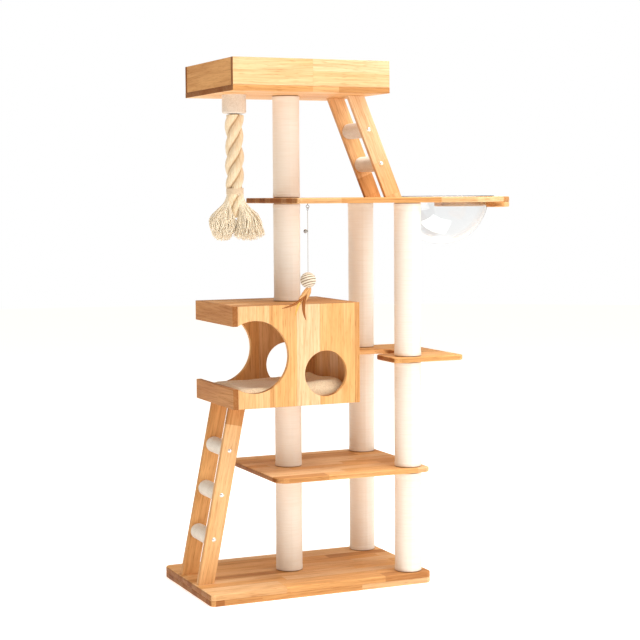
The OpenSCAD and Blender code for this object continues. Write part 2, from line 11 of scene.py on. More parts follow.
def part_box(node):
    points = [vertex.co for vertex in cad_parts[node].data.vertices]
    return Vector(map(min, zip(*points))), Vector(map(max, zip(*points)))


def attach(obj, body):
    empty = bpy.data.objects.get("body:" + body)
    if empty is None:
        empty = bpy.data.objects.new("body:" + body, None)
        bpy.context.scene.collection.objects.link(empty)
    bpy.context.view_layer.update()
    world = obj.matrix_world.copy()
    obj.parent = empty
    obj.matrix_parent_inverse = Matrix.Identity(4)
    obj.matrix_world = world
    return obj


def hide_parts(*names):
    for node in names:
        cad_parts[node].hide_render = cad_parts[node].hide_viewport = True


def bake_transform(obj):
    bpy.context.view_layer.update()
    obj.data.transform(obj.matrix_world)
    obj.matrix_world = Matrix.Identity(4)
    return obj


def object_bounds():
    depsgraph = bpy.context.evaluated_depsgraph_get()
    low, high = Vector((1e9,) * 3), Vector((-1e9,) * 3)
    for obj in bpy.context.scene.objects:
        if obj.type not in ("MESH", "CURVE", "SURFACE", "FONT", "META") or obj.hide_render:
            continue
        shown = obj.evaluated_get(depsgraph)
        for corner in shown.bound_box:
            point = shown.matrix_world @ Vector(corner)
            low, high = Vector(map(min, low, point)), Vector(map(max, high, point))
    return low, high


bl_info = {
    "name": "Cat Tree Looks",
    "version": (1, 0, 0),
    "blender": (4, 5, 0),
    "location": "View3D > Sidebar > Cat Tree",
    "description": "Builds the finished surfaces of a cat tree round its loaded frame",
    "category": "Add Mesh",
}

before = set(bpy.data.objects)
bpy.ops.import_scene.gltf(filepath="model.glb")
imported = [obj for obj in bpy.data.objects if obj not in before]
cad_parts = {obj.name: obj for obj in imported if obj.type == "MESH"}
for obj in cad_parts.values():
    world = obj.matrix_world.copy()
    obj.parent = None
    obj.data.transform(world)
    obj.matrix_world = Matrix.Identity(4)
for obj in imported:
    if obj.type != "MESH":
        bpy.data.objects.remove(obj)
FRAME_BOX = [list(corner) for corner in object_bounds()]
MM = 0.001
CORNER_STEPS, RECESS_STEPS = 16, 32
FULL_TURN = 2 * math.pi


def corners(node):
    """The lowest and the highest corner of a frame node, as arrays."""
    low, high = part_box(node)
    return np.array(low), np.array(high)


POST_R = (corners("low_left_wrap")[1][0] - corners("low_left_wrap")[0][0]) / 2


# ---- Settings ----


def colour(name, description, value):
    return FloatVectorProperty(
        name=name, description=description, default=value, subtype="COLOR", min=0, max=1, size=3
    )


def length(name, description, value):
    return FloatProperty(name=name, description=description, default=value, unit="LENGTH", min=0, precision=4)


def share(name, description, value):
    return FloatProperty(name=name, description=description, default=value, subtype="FACTOR", min=0, max=1)


class WoodSettings(bpy.types.PropertyGroup):
    pale: colour("Pale Stave", "Colour of the palest staves", (0.90, 0.63, 0.375))
    middling: colour("Middling Stave", "Colour of most staves", (0.85, 0.480, 0.195))
    dark: colour("Dark Stave", "Colour of the darkest staves", (0.48, 0.21, 0.075))
    ring_gap: length("Ring Gap", "Distance between the growth rings", 0.0105)
    ring_depth: share("Ring Depth", "How much darker the late wood of a ring is", 0.16)
    streak_depth: share("Streak Depth", "How much darker the fine streaks are", 0.50)
    round_over: length("Round-Over", "Radius of the shelves' rounded edges", 0.0045)
    ease: length("Eased Edge", "Radius of the eased edges of the house, tray and rails", 0.0012)


class ClothSettings(bpy.types.PropertyGroup):
    canvas: colour("Canvas", "Colour of the cloth on the posts", (0.93, 0.885, 0.82))
    # Painted shadow: dark brown colour for the thin band of canvas next to the boards, where shade falls in the gap
    contact_shadow: colour("Contact", "Colour of the canvas where it meets the boards", (0.36, 0.17, 0.08))
    thread: length("Thread Pitch", "Distance between the canvas threads", 0.0016)
    hem: length("Hem", "Height of the turned hem at either end of a post", 0.014)
    grey_plush: colour("Grey Plush", "Colour of the plush on the rungs and the rope's holder", (0.83, 0.77, 0.69))
    mat_plush: colour("Mat Plush", "Colour of the mat's plush", (1.0, 0.82, 0.60))
    pile: length("Pile", "Height of the plush pile's lumps", 0.0007)
    mat_fill: share("Mat Fill", "How firmly the mat is stuffed", 0.7)


class RopeSettings(bpy.types.PropertyGroup):
    cotton: colour("Cotton", "Colour of the rope's fibres", (0.93, 0.79, 0.58))
    # Painted shade: the dark colour put in the grooves between the rope's strands
    groove_shade: colour("Groove", "Colour between the rope's strands", (0.52, 0.31, 0.13))
    lay: length("Lay", "Height of one full turn of a strand", 0.195)
    strands: IntProperty(name="Strands", description="Number of twisted strands", default=3, min=2, max=4)
    fibres: IntProperty(name="Fibres", description="Number of fibres in each frayed end", default=380, min=50)
    turns: IntProperty(name="Binding Turns", description="Number of turns of the binding cord", default=6, min=2)


class ToySettings(bpy.types.PropertyGroup):
    cord: colour("Ball Cord", "Colour of the cord wound on the ball", (0.84, 0.76, 0.64))
    # Painted shade: the dark colour put in the crevices between the turns of the ball's cord
    gap: colour("Cord Gap", "Colour between the turns of the ball's cord", (0.26, 0.17, 0.10))
    band: length("Band", "Width of one turn of the ball's cord", 0.0088)
    tan_feather: colour("Tan Feather", "Colour of the fluffy feather", (0.62, 0.33, 0.14))
    brown_feather: colour("Brown Feather", "Colour of the dark feathers", (0.30, 0.105, 0.028))
    gold_feather: colour("Gold Feather", "Colour of the yellow feather", (0.70, 0.40, 0.10))


class StageSettings(bpy.types.PropertyGroup):
    key_power: FloatProperty(name="Key Power", description="Power of the main light", default=88, unit="POWER")
    top_power: FloatProperty(name="Top Power", description="Power of the light overhead", default=175, unit="POWER")
    sky: FloatProperty(name="Sky", description="Strength of the light from all round", default=0.52, min=0)
    sky_colour: colour("Sky Colour", "Colour of the light from all round", (1.0, 0.885, 0.755))


# ---- Material maths ----


class Socket:
    """An output of a material node. Arithmetic on it adds Math nodes."""

    def __init__(self, finish, link):
        self.finish, self.link = finish, link

    def __add__(self, other):
        return self.finish.math("ADD", self, other)

    def __sub__(self, other):
        return self.finish.math("SUBTRACT", self, other)

    def __rsub__(self, other):
        return self.finish.math("SUBTRACT", other, self)

    def __mul__(self, other):
        return self.finish.math("MULTIPLY", self, other)

    def __truediv__(self, other):
        return self.finish.math("DIVIDE", self, other)

    def __pow__(self, other):
        return self.finish.math("POWER", self, other)

    __radd__, __rmul__ = __add__, __mul__


class Finish:
    """A material with one Principled shader. Its constants are set on the shader's own sockets."""

    def __init__(self, name, **constants):
        self.material = bpy.data.materials.new(name)
        self.material.use_nodes = True
        self.nodes, self.links = self.material.node_tree.nodes, self.material.node_tree.links
        self.nodes.clear()
        self.shader = self.nodes.new("ShaderNodeBsdfPrincipled")
        output = self.nodes.new("ShaderNodeOutputMaterial")
        self.links.new(self.shader.outputs[0], output.inputs["Surface"])
        for key, value in constants.items():
            self.shader.inputs[key.replace("_", " ")].default_value = value

    def node(self, kind, settings=(), stops=(), **values):
        """Adds a node: its settings and ramp stops come first, then the value or link of each socket named."""
        made = self.nodes.new("ShaderNode" + kind)
        for key, value in dict(settings).items():
            setattr(made, key, value)
        for spot, (place, value) in enumerate(stops):
            ramp = made.color_ramp
            stop = ramp.elements[spot] if spot < 2 else ramp.elements.new(place)
            stop.position, stop.color = place, value if len(value) == 4 else (*value, 1)
        for key, value in values.items():
            name = key.replace("_", " ")
            self.put(made.inputs[int(name[1:]) if name[1:].isdigit() else name], value)
        return made

    def put(self, socket, value):
        if isinstance(value, Socket):
            self.links.new(value.link, socket)
        elif socket.type == "RGBA" and len(value) == 3:
            socket.default_value = (*value, 1)
        else:
            socket.default_value = value

    def out(self, made, name=0):
        return Socket(self, made.outputs[name])

    def math(self, operation, *values, clamp=False):
        settings = {"operation": operation, "use_clamp": clamp}
        return self.out(self.node("Math", settings, **{f"i{k}": v for k, v in enumerate(values)}))

    def mix(self, factor, first, second, blend="MIX"):
        """The first colour at factor 0 and the second at 1, blended as named."""
        made = self.node("Mix", {"data_type": "RGBA", "blend_type": blend}, i0=factor, i6=first, i7=second)
        return self.out(made, 2)

    def step(self, value, low, high):
        """0 up to low and 1 from high on, smooth between them."""
        made = self.node("MapRange", {"interpolation_type": "SMOOTHSTEP"}, Value=value, From_Min=low, From_Max=high)
        return self.out(made)

    def coordinates(self, kind="Object"):
        return self.out(self.node("TexCoord"), kind)

    def place(self, vector, location=(0, 0, 0), turn=(0, 0, 0), scale=(1, 1, 1)):
        return self.out(self.node("Mapping", Vector=vector, Location=location, Rotation=turn, Scale=scale))

    def parts(self, vector):
        made = self.node("SeparateXYZ", Vector=vector)
        return [self.out(made, k) for k in range(3)]

    def vector(self, x, y, z):
        return self.out(self.node("CombineXYZ", X=x, Y=y, Z=z))

    def noise(self, vector, scale, detail=2.0, roughness=0.5):
        return self.out(self.node("TexNoise", Vector=vector, Scale=scale, Detail=detail, Roughness=roughness))

    def random(self, vector):
        """A random number and three more, the same for equal vectors."""
        made = self.node("TexWhiteNoise", {"noise_dimensions": "3D"}, Vector=vector)
        return self.out(made, "Value"), self.parts(self.out(made, "Color"))

    def bump(self, height, distance, strength=1.0):
        self.set(Normal=self.out(self.node("Bump", Height=height, Distance=distance, Strength=strength)))

    def set(self, **values):
        for key, value in values.items():
            self.put(self.shader.inputs[key.replace("_", " ")], value)
        return self.material


# ---- Materials ----


def shaded(tone, *factors):
    """A colour times one factor, or times one for each channel, with each channel at most 1."""
    return tuple(min(1, c * f) for c, f in zip(tone, factors * (3 // len(factors))))


LATE_WOOD, GLUE_LINE, SAWN_END = (0.56, 0.40, 0.26), (0.55, 0.42, 0.30), (0.34, 0.19, 0.09)
GLUE_WIDTH = 0.8 * MM


def wood(name, axes="XYZ", start=(0, 0, 0), turn=0.0, stave=0.056, block=0.42, seed=1, tone=0.0, spread=0.8,
         stagger=1.0, end=1.0, patches=()):
    """Staves glued side by side, each made of blocks with their own shade and rings. axes gives the grain's axis,
    then the one across the staves, then the one through the board. The rings are cylinders about a random line
    near the grain, so a face across the grain shows arcs and a face along it shows long arches. A patch is (from,
    to along the grain, from, to across the staves, shade), measured from start, and shades that area. end is how
    dark the sawn ends get."""
    looks = bpy.context.scene.wood_looks
    m = Finish(name, Specular_IOR_Level=0.06)
    pattern = m.place(m.coordinates(), tuple(-s for s in start), (0, turn, 0))
    spots = dict(zip("XYZ", m.parts(pattern)))
    along, side, through = (spots[a] for a in axes)
    row = m.math("FLOOR", side / stave)
    shift, _ = m.random(m.vector(row, seed, 0.5))
    joint = along / block + shift * stagger
    column = m.math("FLOOR", joint)
    shade, (first, second, third) = m.random(m.vector(row, column, seed))
    shade = shade ** 1.4 * spread + tone
    for from_along, to_along, from_side, to_side, value in patches:
        inside = m.math("GREATER_THAN", along, from_along) * m.math("LESS_THAN", along, to_along)
        inside = inside * m.math("GREATER_THAN", side, from_side) * m.math("LESS_THAN", side, to_side)
        shade = shade + inside * (value - shade)
    own = m.vector(along * 1.3 + first * 9, side * 9 + second * 9, through * 9 + third * 9)
    wander = m.noise(own, 1.0, 3.0) - 0.5
    off_side = side - (row + 0.5) * stave + (first - 0.5) * 0.10
    off_through = through + 0.012 + second * 0.10 + along * (third - 0.5) * 0.14
    radius = m.math("SQRT", off_side * off_side + off_through * off_through) + wander * 0.06
    ring = (m.math("SINE", radius * (FULL_TURN / looks.ring_gap)) * 0.5 + 0.5) ** 2.2
    fine = m.noise(m.vector(along * 9 + third * 7, side * 290, through * 290), 1.0, 2.0, 0.6)
    broad = m.noise(m.vector(along * 3.5 + first * 7, side * 95, through * 95), 1.0, 2.0, 0.6)
    streak = m.step(fine, 0.44, 0.68) * 0.55 + m.step(broad, 0.45, 0.66) * 0.45
    cloud = m.noise(m.vector(along * 2.6, side * 17 + first * 5, through * 17), 1.0, 2.0)
    shade = m.math("ADD", shade, (cloud - 0.5) * 0.5, clamp=True)
    stops = [(0.0, looks.pale), (0.45, looks.middling), (1.0, looks.dark)]
    base = m.out(m.node("ValToRGB", stops=[(p, tuple(c)) for p, c in stops], Fac=shade))
    pore = m.noise(m.vector(along * 26 + second * 5, side * 420, through * 420), 1.0, 1.0)
    pore = m.step(pore, 0.58, 0.74) * 0.45
    grain = m.math("MINIMUM", ring * looks.ring_depth + streak * looks.streak_depth + pore, 1.0)
    tint = m.mix(grain, base, m.mix(1.0, base, LATE_WOOD, "MULTIPLY"))
    edge_side = m.math("ABSOLUTE", m.math("FRACT", side / stave) - 0.5) * stave
    edge_along = m.math("ABSOLUTE", m.math("FRACT", joint) - 0.5) * block
    glue = m.math("MAXIMUM", m.step(edge_side, stave / 2 - GLUE_WIDTH, stave / 2),
                  m.step(edge_along, block / 2 - GLUE_WIDTH, block / 2))
    tint = m.mix(glue * 0.35, tint, m.mix(1.0, tint, GLUE_LINE, "MULTIPLY"))
    normal = m.place(m.coordinates("Normal"), turn=(0, turn, 0))
    facing = m.math("ABSOLUTE", dict(zip("XYZ", m.parts(normal)))[axes[0]])
    end_grain = m.step(facing, 0.75, 0.95)
    speck = m.noise(m.vector(along * 30, side * 700, through * 700), 1.0, 1.0)
    tint = m.mix(end_grain * (speck * 0.4 + 0.65) * end, tint, m.mix(1.0, tint, SAWN_END, "MULTIPLY"))
    m.bump(streak * -0.6 - glue + ring * 0.4, 0.00035, 0.5)
    return m.set(Base_Color=tint, Roughness=streak * 0.14 + 0.40)


def canvas(name, seed, low, high):
    """Plain-woven cloth, with a painted shadow where it meets the boards at low and high. The map holds metres round
    the post and up it, so both sets of threads follow the cloth."""
    looks = bpy.context.scene.cloth_looks
    m = Finish(name, Specular_IOR_Level=0.2, Sheen_Weight=0.25, Sheen_Roughness=0.5)
    cloth = m.coordinates("UV")
    u, v, _ = m.parts(cloth)
    turn = FULL_TURN / looks.thread
    weft = m.math("SINE", v * turn)
    warp = m.math("SINE", u * turn)
    weave = m.math("ABSOLUTE", weft) * 0.6 + m.math("ABSOLUTE", warp) * 0.4
    slub = m.noise(m.vector(u * 12, v * 260, seed), 1.0, 2.0)
    stain = m.noise(m.vector(u * 9, v * 5, seed), 1.0, 2.0)
    pale = tuple(looks.canvas)
    tint = m.mix(m.step(slub, 0.35, 0.75) * 0.5, pale, shaded(pale, 0.93, 0.89, 0.84))
    tint = m.mix(m.step(stain, 0.5, 0.8) * 0.35, tint, shaded(pale, 0.97, 0.93, 0.88))
    tint = m.mix(weave * 0.10, tint, (0.62, 0.50, 0.38))
    # Painted shadow: the canvas darkens in a thin band at either end, where it meets the boards
    from_end = m.math("MINIMUM", v - low, high - v)
    tint = m.mix((1.0 - m.step(from_end, 0.0022, 0.0042)) * 0.85, tint, looks.contact_shadow)
    m.bump(weave + slub * 0.8, 0.0004, 0.45)
    return m.set(Base_Color=tint, Roughness=slub * 0.1 + 0.82)


def plush(name, tone, scale=420.0):
    """Short dense pile: painted shade in fine specks between the tufts, and broad cloudy patches where the pile
    leans.
    """
    m = Finish(name, Specular_IOR_Level=0.15, Sheen_Weight=0.6, Sheen_Roughness=0.45)
    spot = m.coordinates()
    fuzz = m.noise(spot, scale, 3.0, 0.65)
    lean = m.noise(spot, 26.0, 2.0)
    # Painted shade: deep is the darker colour put where the pile's bump dips between the tufts
    deep = shaded(tone, 0.80, 0.75, 0.69)
    tint = m.mix(m.step(fuzz, 0.35, 0.62), deep, tuple(tone))
    tint = m.mix(m.step(lean, 0.40, 0.70) * 0.4, tint, shaded(tone, 1.12))
    m.bump(fuzz + lean * 0.5, 0.0015, 0.6)
    return m.set(Base_Color=tint, Roughness=lean * 0.1 + 0.85)


def acrylic():
    m = Finish("Clear Acrylic", Transmission_Weight=1.0, IOR=1.49)
    haze = m.noise(m.coordinates(), 9.0, 3.0)
    return m.set(Base_Color=(0.91, 0.92, 0.925), Roughness=haze * 0.03)


def cotton(name, pale, deep, slant):
    """Twisted cotton. The map holds the share across a strand and the metres down the rope. Its yarns run straight
    down the rope, which is slant strands across a strand for each metre along it."""
    m = Finish(name, Specular_IOR_Level=0.2, Sheen_Weight=0.3, Sheen_Roughness=0.5)
    u, v, _ = m.parts(m.coordinates("UV"))
    across = u - v * slant
    yarn = m.noise(m.vector(across * 14, v * 22, 0.0), 1.0, 3.0, 0.6)
    fibre = m.noise(m.vector(across * 60, v * 60, 3.0), 1.0, 2.0, 0.6)
    blotch = m.noise(m.coordinates(), 38.0, 2.0)
    # Painted shade: valley marks the grooves between the strands, which take the deep colour
    valley = m.math("ABSOLUTE", u - 0.5) * 2
    valley = m.step(valley, 0.70, 1.0)
    tint = m.mix(m.step(yarn, 0.42, 0.68) * 0.75, pale, shaded(pale, 0.84, 0.76, 0.64))
    tint = m.mix(m.step(fibre, 0.45, 0.72) * 0.6, tint, shaded(pale, 0.78, 0.68, 0.54))
    tint = m.mix(m.step(blotch, 0.5, 0.75) * 0.3, tint, shaded(pale, 1.1))
    tint = m.mix(valley * 0.75, tint, deep)
    m.bump(yarn + fibre * 0.5 - valley, 0.0016, 0.7)
    return m.set(Base_Color=tint, Roughness=fibre * 0.15 + 0.78)


def strands(name, pale, deep):
    """Loose fibres: shade varies from fibre to fibre and darkens deep between them."""
    m = Finish(name, Specular_IOR_Level=0.2, Sheen_Weight=0.25)
    u, v, _ = m.parts(m.coordinates("UV"))
    own = m.noise(m.vector(u * 37, 0.0, 1.0), 1.0, 0.0)
    fleck = m.noise(m.vector(u * 37, v * 90, 5.0), 1.0, 2.0)
    tint = m.mix(m.step(own, 0.42, 0.66) * 0.45, pale, deep)
    tint = m.mix(m.step(fleck, 0.45, 0.75) * 0.3, tint, shaded(pale, 0.78, 0.66, 0.5))
    m.bump(fleck, 0.0004, 0.5)
    return m.set(Base_Color=tint, Roughness=fleck * 0.15 + 0.75)


def metal(name, tone, rough):
    """Plated steel with faint brushing and a little spotting."""
    m = Finish(name, Specular_IOR_Level=0.5)
    spot = m.coordinates()
    brushing = m.noise(m.place(spot, scale=(900, 900, 120)), 1.0, 2.0)
    spots = m.noise(spot, 160.0, 2.0)
    tint = m.mix(m.step(spots, 0.5, 0.8) * 0.3, tone, shaded(tone, 0.8))
    m.bump(brushing, 0.00005, 0.4)
    return m.set(Base_Color=tint, Metallic=1.0 - spots * 0.08, Roughness=brushing * 0.12 + rough)


def plain_fibre(name, tone, scale, rough=0.85):
    """Pressed card or rough-sawn softwood: stretched specks on an even ground."""
    m = Finish(name, Specular_IOR_Level=0.2)
    speck = m.noise(m.place(m.coordinates(), scale=scale), 1.0, 3.0)
    tint = m.mix(m.step(speck, 0.4, 0.7) * 0.5, tone, shaded(tone, 0.72))
    m.bump(speck, 0.0004, 0.5)
    return m.set(Base_Color=tint, Roughness=speck * 0.1 + rough - 0.05)


def wound_cord():
    """Cord wound on the ball: painted shade between its turns, with slanting yarns on each. The map holds metres
    round the ball and across the turns."""
    looks = bpy.context.scene.toy_looks
    m = Finish("Wound Cord", Specular_IOR_Level=0.2, Sheen_Weight=0.2)
    u, v, _ = m.parts(m.coordinates("UV"))
    across = m.math("FRACT", v / looks.band)
    gap = m.step(m.math("ABSOLUTE", across - 0.5), 0.27, 0.36)
    yarn = m.math("ABSOLUTE", m.math("SINE", u * 1500 + across * 5))
    fuzz = m.noise(m.coordinates(), 700.0, 2.0)
    pale = tuple(looks.cord)
    tint = m.mix(yarn * 0.18 + fuzz * 0.15, pale, shaded(pale, 0.7, 0.62, 0.52))
    # Painted shade: the crevices between the turns take the dark gap colour
    tint = m.mix(gap * 0.9, tint, tuple(looks.gap))
    m.bump(yarn * 0.5 + fuzz * 0.4 - gap, 0.0007, 0.6)
    return m.set(Base_Color=tint, Roughness=fuzz * 0.1 + 0.8)


def feather_finish(name, tone):
    """Barbs slant away from the quill, which is paler. The map holds the share across and the metres along."""
    m = Finish(name, Specular_IOR_Level=0.08, Sheen_Weight=0.04)
    u, v, _ = m.parts(m.coordinates("UV"))
    off = m.math("ABSOLUTE", u - 0.5) * 2
    barb = m.math("SINE", (v - off * 0.006) * 2600) * 0.5 + 0.5
    patch = m.noise(m.vector(u * 3, v * 60, 0.0), 1.0, 3.0)
    pale = tuple(min(1, c * 1.7 + 0.02) for c in tone)
    tint = m.mix(barb * 0.3, tone, shaded(tone, 0.6))
    tint = m.mix(m.step(patch, 0.45, 0.7) * 0.5, tint, pale)
    tint = m.mix(1.0 - m.step(off, 0.06, 0.14), tint, pale)
    m.bump(barb, 0.0002, 0.5)
    return m.set(Base_Color=tint, Roughness=patch * 0.15 + 0.55)


# ---- Meshes ----


def place_object(name, data):
    """A new object in the scene that holds the data."""
    made = bpy.data.objects.new(name, data)
    bpy.context.scene.collection.objects.link(made)
    return made


def piece(name, points, faces, finish, slot, nodes=(), body="tree", uv=None, crease=40):
    """Makes one finished piece that rides on a body and stands for the named frame nodes. uv gives the map's place
    for each corner of the first faces, in order, and the rest of the corners get 0."""
    mesh = bpy.data.meshes.new(name)
    mesh.from_pydata(np.asarray(points).reshape(-1, 3), [], faces)
    if uv is not None:
        corners_uv = np.zeros((len(mesh.loops), 2), np.float32)
        flat = np.asarray(uv, np.float32).reshape(-1, 2)
        corners_uv[: len(flat)] = flat
        mesh.uv_layers.new(name="Cloth").data.foreach_set("uv", corners_uv.ravel())
    shell = bmesh.new()
    shell.from_mesh(mesh)
    if shell.calc_volume(signed=True) < 0:
        bmesh.ops.reverse_faces(shell, faces=shell.faces)
    shell.to_mesh(mesh)
    shell.free()
    mesh.shade_smooth()
    mesh.set_sharp_from_angle(angle=math.radians(crease))
    mesh.materials.append(finish)
    made = place_object(name, mesh)
    if body:
        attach(made, body)
    if nodes:
        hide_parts(*nodes)
    return made


def skin(rings, ring_wraps=False, u=None, v=None):
    """Quads over an array of rings (rows, places round, 3), closed round each ring. The rows are closed into a loop
    too, or else each end gets one flat face. u and v are each place's and row's share of the map: u has one more
    entry than a ring has places. Returns the points, the faces and the map of the quads' corners."""
    rows, places = rings.shape[:2]
    row, spot = np.meshgrid(np.arange(rows if ring_wraps else rows - 1), np.arange(places), indexing="ij")
    next_row, next_spot = (row + 1) % rows, (spot + 1) % places
    quads = np.stack([row * places + spot, row * places + next_spot,
                      next_row * places + next_spot, next_row * places + spot], -1).reshape(-1, 4)
    uv = None
    if u is not None:
        v_ends = np.append(v, v[0])
        uv = np.stack([np.stack([u[spot + s], v_ends[row + r]], -1)
                       for r, s in ((0, 0), (0, 1), (1, 1), (1, 0))], 2).reshape(-1, 2)
    faces = quads.tolist()
    if not ring_wraps:
        faces += [np.arange(places)[::-1].tolist(), (np.arange(places) + (rows - 1) * places).tolist()]
    return rings.reshape(-1, 3), faces, uv


def ring_angles(places):
    """The angles of places spread evenly round a ring, as one row."""
    return np.linspace(0, FULL_TURN, places, endpoint=False)[None]


def upright(x, y, radius, angle, z):
    """Points at a radius and an angle round the upright axis through (x, y), at height z."""
    return np.stack([x + radius * np.cos(angle), y + radius * np.sin(angle), z + 0 * angle], -1)


def lathe(profile, centre, steps):
    """Rings of a turned shape: each (radius, height) of the profile goes round the upright axis through centre."""
    profile = np.asarray(profile)
    return upright(centre[0], centre[1], profile[:, :1], ring_angles(steps), profile[:, 1:])


def normalised(vectors):
    return vectors / np.linalg.norm(vectors, axis=-1, keepdims=True)


def tubes(paths, radii, sides, reference):
    """Round tubes along many paths at once. paths is (tubes, points, 3), radii (tubes, points). The ring at a point
    lies across the path's direction there, turned to a fixed reference direction. Returns points, faces and map:
    u is the tube's own number and v the metres along it."""
    count, rows = paths.shape[:2]
    ahead = normalised(np.gradient(paths, axis=1))
    first = normalised(np.cross(ahead, np.asarray(reference, float)))
    second = np.cross(ahead, first)
    angle = np.linspace(0, FULL_TURN, sides, endpoint=False)
    rings = paths[:, :, None] + radii[:, :, None, None] * (
        first[:, :, None] * np.cos(angle)[:, None] + second[:, :, None] * np.sin(angle)[:, None])
    _, one, _ = skin(rings[0])
    run = np.concatenate([np.zeros((count, 1)), np.cumsum(np.linalg.norm(np.diff(paths, axis=1), axis=2), 1)], 1)
    quads = np.array(one[:-2])
    ends = np.array(one[-2:])
    offset = (np.arange(count) * rows * sides)[:, None, None]
    faces = (quads + offset).reshape(-1, 4).tolist() + (ends + offset).reshape(-1, sides).tolist()
    row = np.repeat(np.arange(rows - 1), sides)
    along = np.stack([run[:, row], run[:, row], run[:, row + 1], run[:, row + 1]], -1)
    own = np.broadcast_to(np.arange(count)[:, None, None], along.shape)
    return rings, faces, np.stack([own, along], -1)


def arc(x, y, radius, start, end, steps=CORNER_STEPS):
    """Points on a circle about (x, y), from the start to the end angle in degrees."""
    angle = np.radians(np.linspace(start, end, steps + 1))
    return np.stack([x + radius * np.cos(angle), y + radius * np.sin(angle)], 1)


def rounded(x0, x1, y0, y1, radii=(0, 0, 0, 0)):
    """A rectangle, anticlockwise, with quarter circles at its corners in the order front left, front right, back
    right, back left."""
    places = [(x0, y0, 1, 1, 180), (x1, y0, -1, 1, 270), (x1, y1, -1, -1, 0), (x0, y1, 1, -1, 90)]
    return np.concatenate([
        arc(x + to_x * r, y + to_y * r, r, start, start + 90) if r else np.array([[x, y]])
        for (x, y, to_x, to_y, start), r in zip(places, radii)])


def inset(loop, distance):
    """A closed loop moved to its left: each point slides along the bisector of its two edges' normals."""
    edge = normalised(np.roll(loop, -1, 0) - loop)
    after = np.stack([-edge[:, 1], edge[:, 0]], 1)
    before = np.roll(after, 1, 0)
    bisector = normalised(after + before)
    return loop + bisector * (distance / np.sum(bisector * after, 1))[:, None]


def rim(loop, low, high, rounding):
    """Rings of a board's edge from its low to its high face. Near a face they follow a quarter circle: at angle a
    the ring lies radius * (1 - sin a) inside the loop and radius * (1 - cos a) from the face."""
    rings = []
    for radius, face, way in ((rounding[0], low, 1), (rounding[1], high, -1)):
        angle = np.radians(np.linspace(0, 90, 6 if radius > 2 * MM else 3))
        inward = np.append(radius + 0.3 * MM, radius * (1 - np.sin(angle)))
        height = face + way * np.append(0, radius * (1 - np.cos(angle)))
        side = [np.column_stack([inset(loop, d), np.full(len(loop), h)]) for d, h in zip(inward, height)]
        rings += side if way > 0 else side[::-1]
    return np.array(rings)


def board(name, outline, low, high, finish, nodes, axes="XYZ", rounding=None, openings=(), recesses=()):
    """A board from an anticlockwise outline, between its low and high faces, with openings (clockwise loops) and
    round recesses (x, y, radius, depth, 0 in the low or 1 in the high face). axes names the frame axes of the
    outline's two coordinates and of the thickness. The flat faces are filled between all their loops."""
    ease = bpy.context.scene.wood_looks.ease
    rounding = rounding or (ease, ease)
    points, faces, rims = [], [], ([], [])
    count = 0
    for loop in (outline, *openings):
        rings = rim(loop, low, high, rounding)
        points.append(rings.reshape(-1, 3))
        faces += [[i + count for i in face] for face in skin(rings)[1][:-2]]
        size = len(loop)
        rims[0].append(np.arange(size) + count)
        rims[1].append(np.arange(size) + count + (len(rings) - 1) * size)
        count += len(rings) * size
    for x, y, radius, depth, side in recesses:
        circle = arc(x, y, radius, 0, -360, RECESS_STEPS)[:-1]
        face, floor = (low, low + depth) if side == 0 else (high, high - depth)
        rings = np.array([np.column_stack([circle, np.full(RECESS_STEPS, h)]) for h in sorted((face, floor))])
        points.append(rings.reshape(-1, 3))
        made = skin(rings)[1]
        faces += [[i + count for i in face] for face in made[:-2]] + [[i + count for i in made[-1 - side]]]
        rims[side].append(np.arange(RECESS_STEPS) + count + RECESS_STEPS * side)
        count += 2 * RECESS_STEPS
    points = np.concatenate(points)
    for side, loops in enumerate(rims):
        order = np.concatenate(loops)
        flat = [[(*points[i, :2], 0.0) for i in loop] for loop in loops]
        triangles = order[np.array(tessellate_polygon(flat))]
        a, b, c = (points[triangles[:, k], :2] for k in range(3))
        area = (b[:, 0] - a[:, 0]) * (c[:, 1] - a[:, 1]) - (b[:, 1] - a[:, 1]) * (c[:, 0] - a[:, 0])
        wrong = (area > 0) != (side == 1)
        triangles[wrong] = triangles[wrong][:, ::-1]
        faces += triangles.tolist()
    placed = np.empty_like(points)
    for column, axis in enumerate(axes):
        placed[:, "XYZ".index(axis)] = points[:, column]
    return piece(name, placed, faces, finish, "honey_wood", nodes)


def panel(name, node, finish, **details):
    """A plain rectangular board in place of a frame node: its thin side is the one it is as thick as a board in."""
    low, high = corners(node)
    thin = int(np.argmin(high - low))
    wide, tall = [k for k in range(3) if k != thin]
    outline = rounded(low[wide], high[wide], low[tall], high[tall])
    axes = "".join("XYZ"[k] for k in (wide, tall, thin))
    return board(name, outline, low[thin], high[thin], finish, [node], axes, **details)


def ripple(a, b, seed):
    """A smooth uneven pattern between -1 and 1 over two arrays: four sine waves with seeded directions."""
    rng = np.random.default_rng(seed)
    waves = rng.uniform(-1, 1, (4, 2))
    phase = rng.uniform(0, FULL_TURN, 4)
    return sum(np.sin(w[0] * a + w[1] * b + p) for w, p in zip(waves, phase)) / 4


# ---- Stage ----


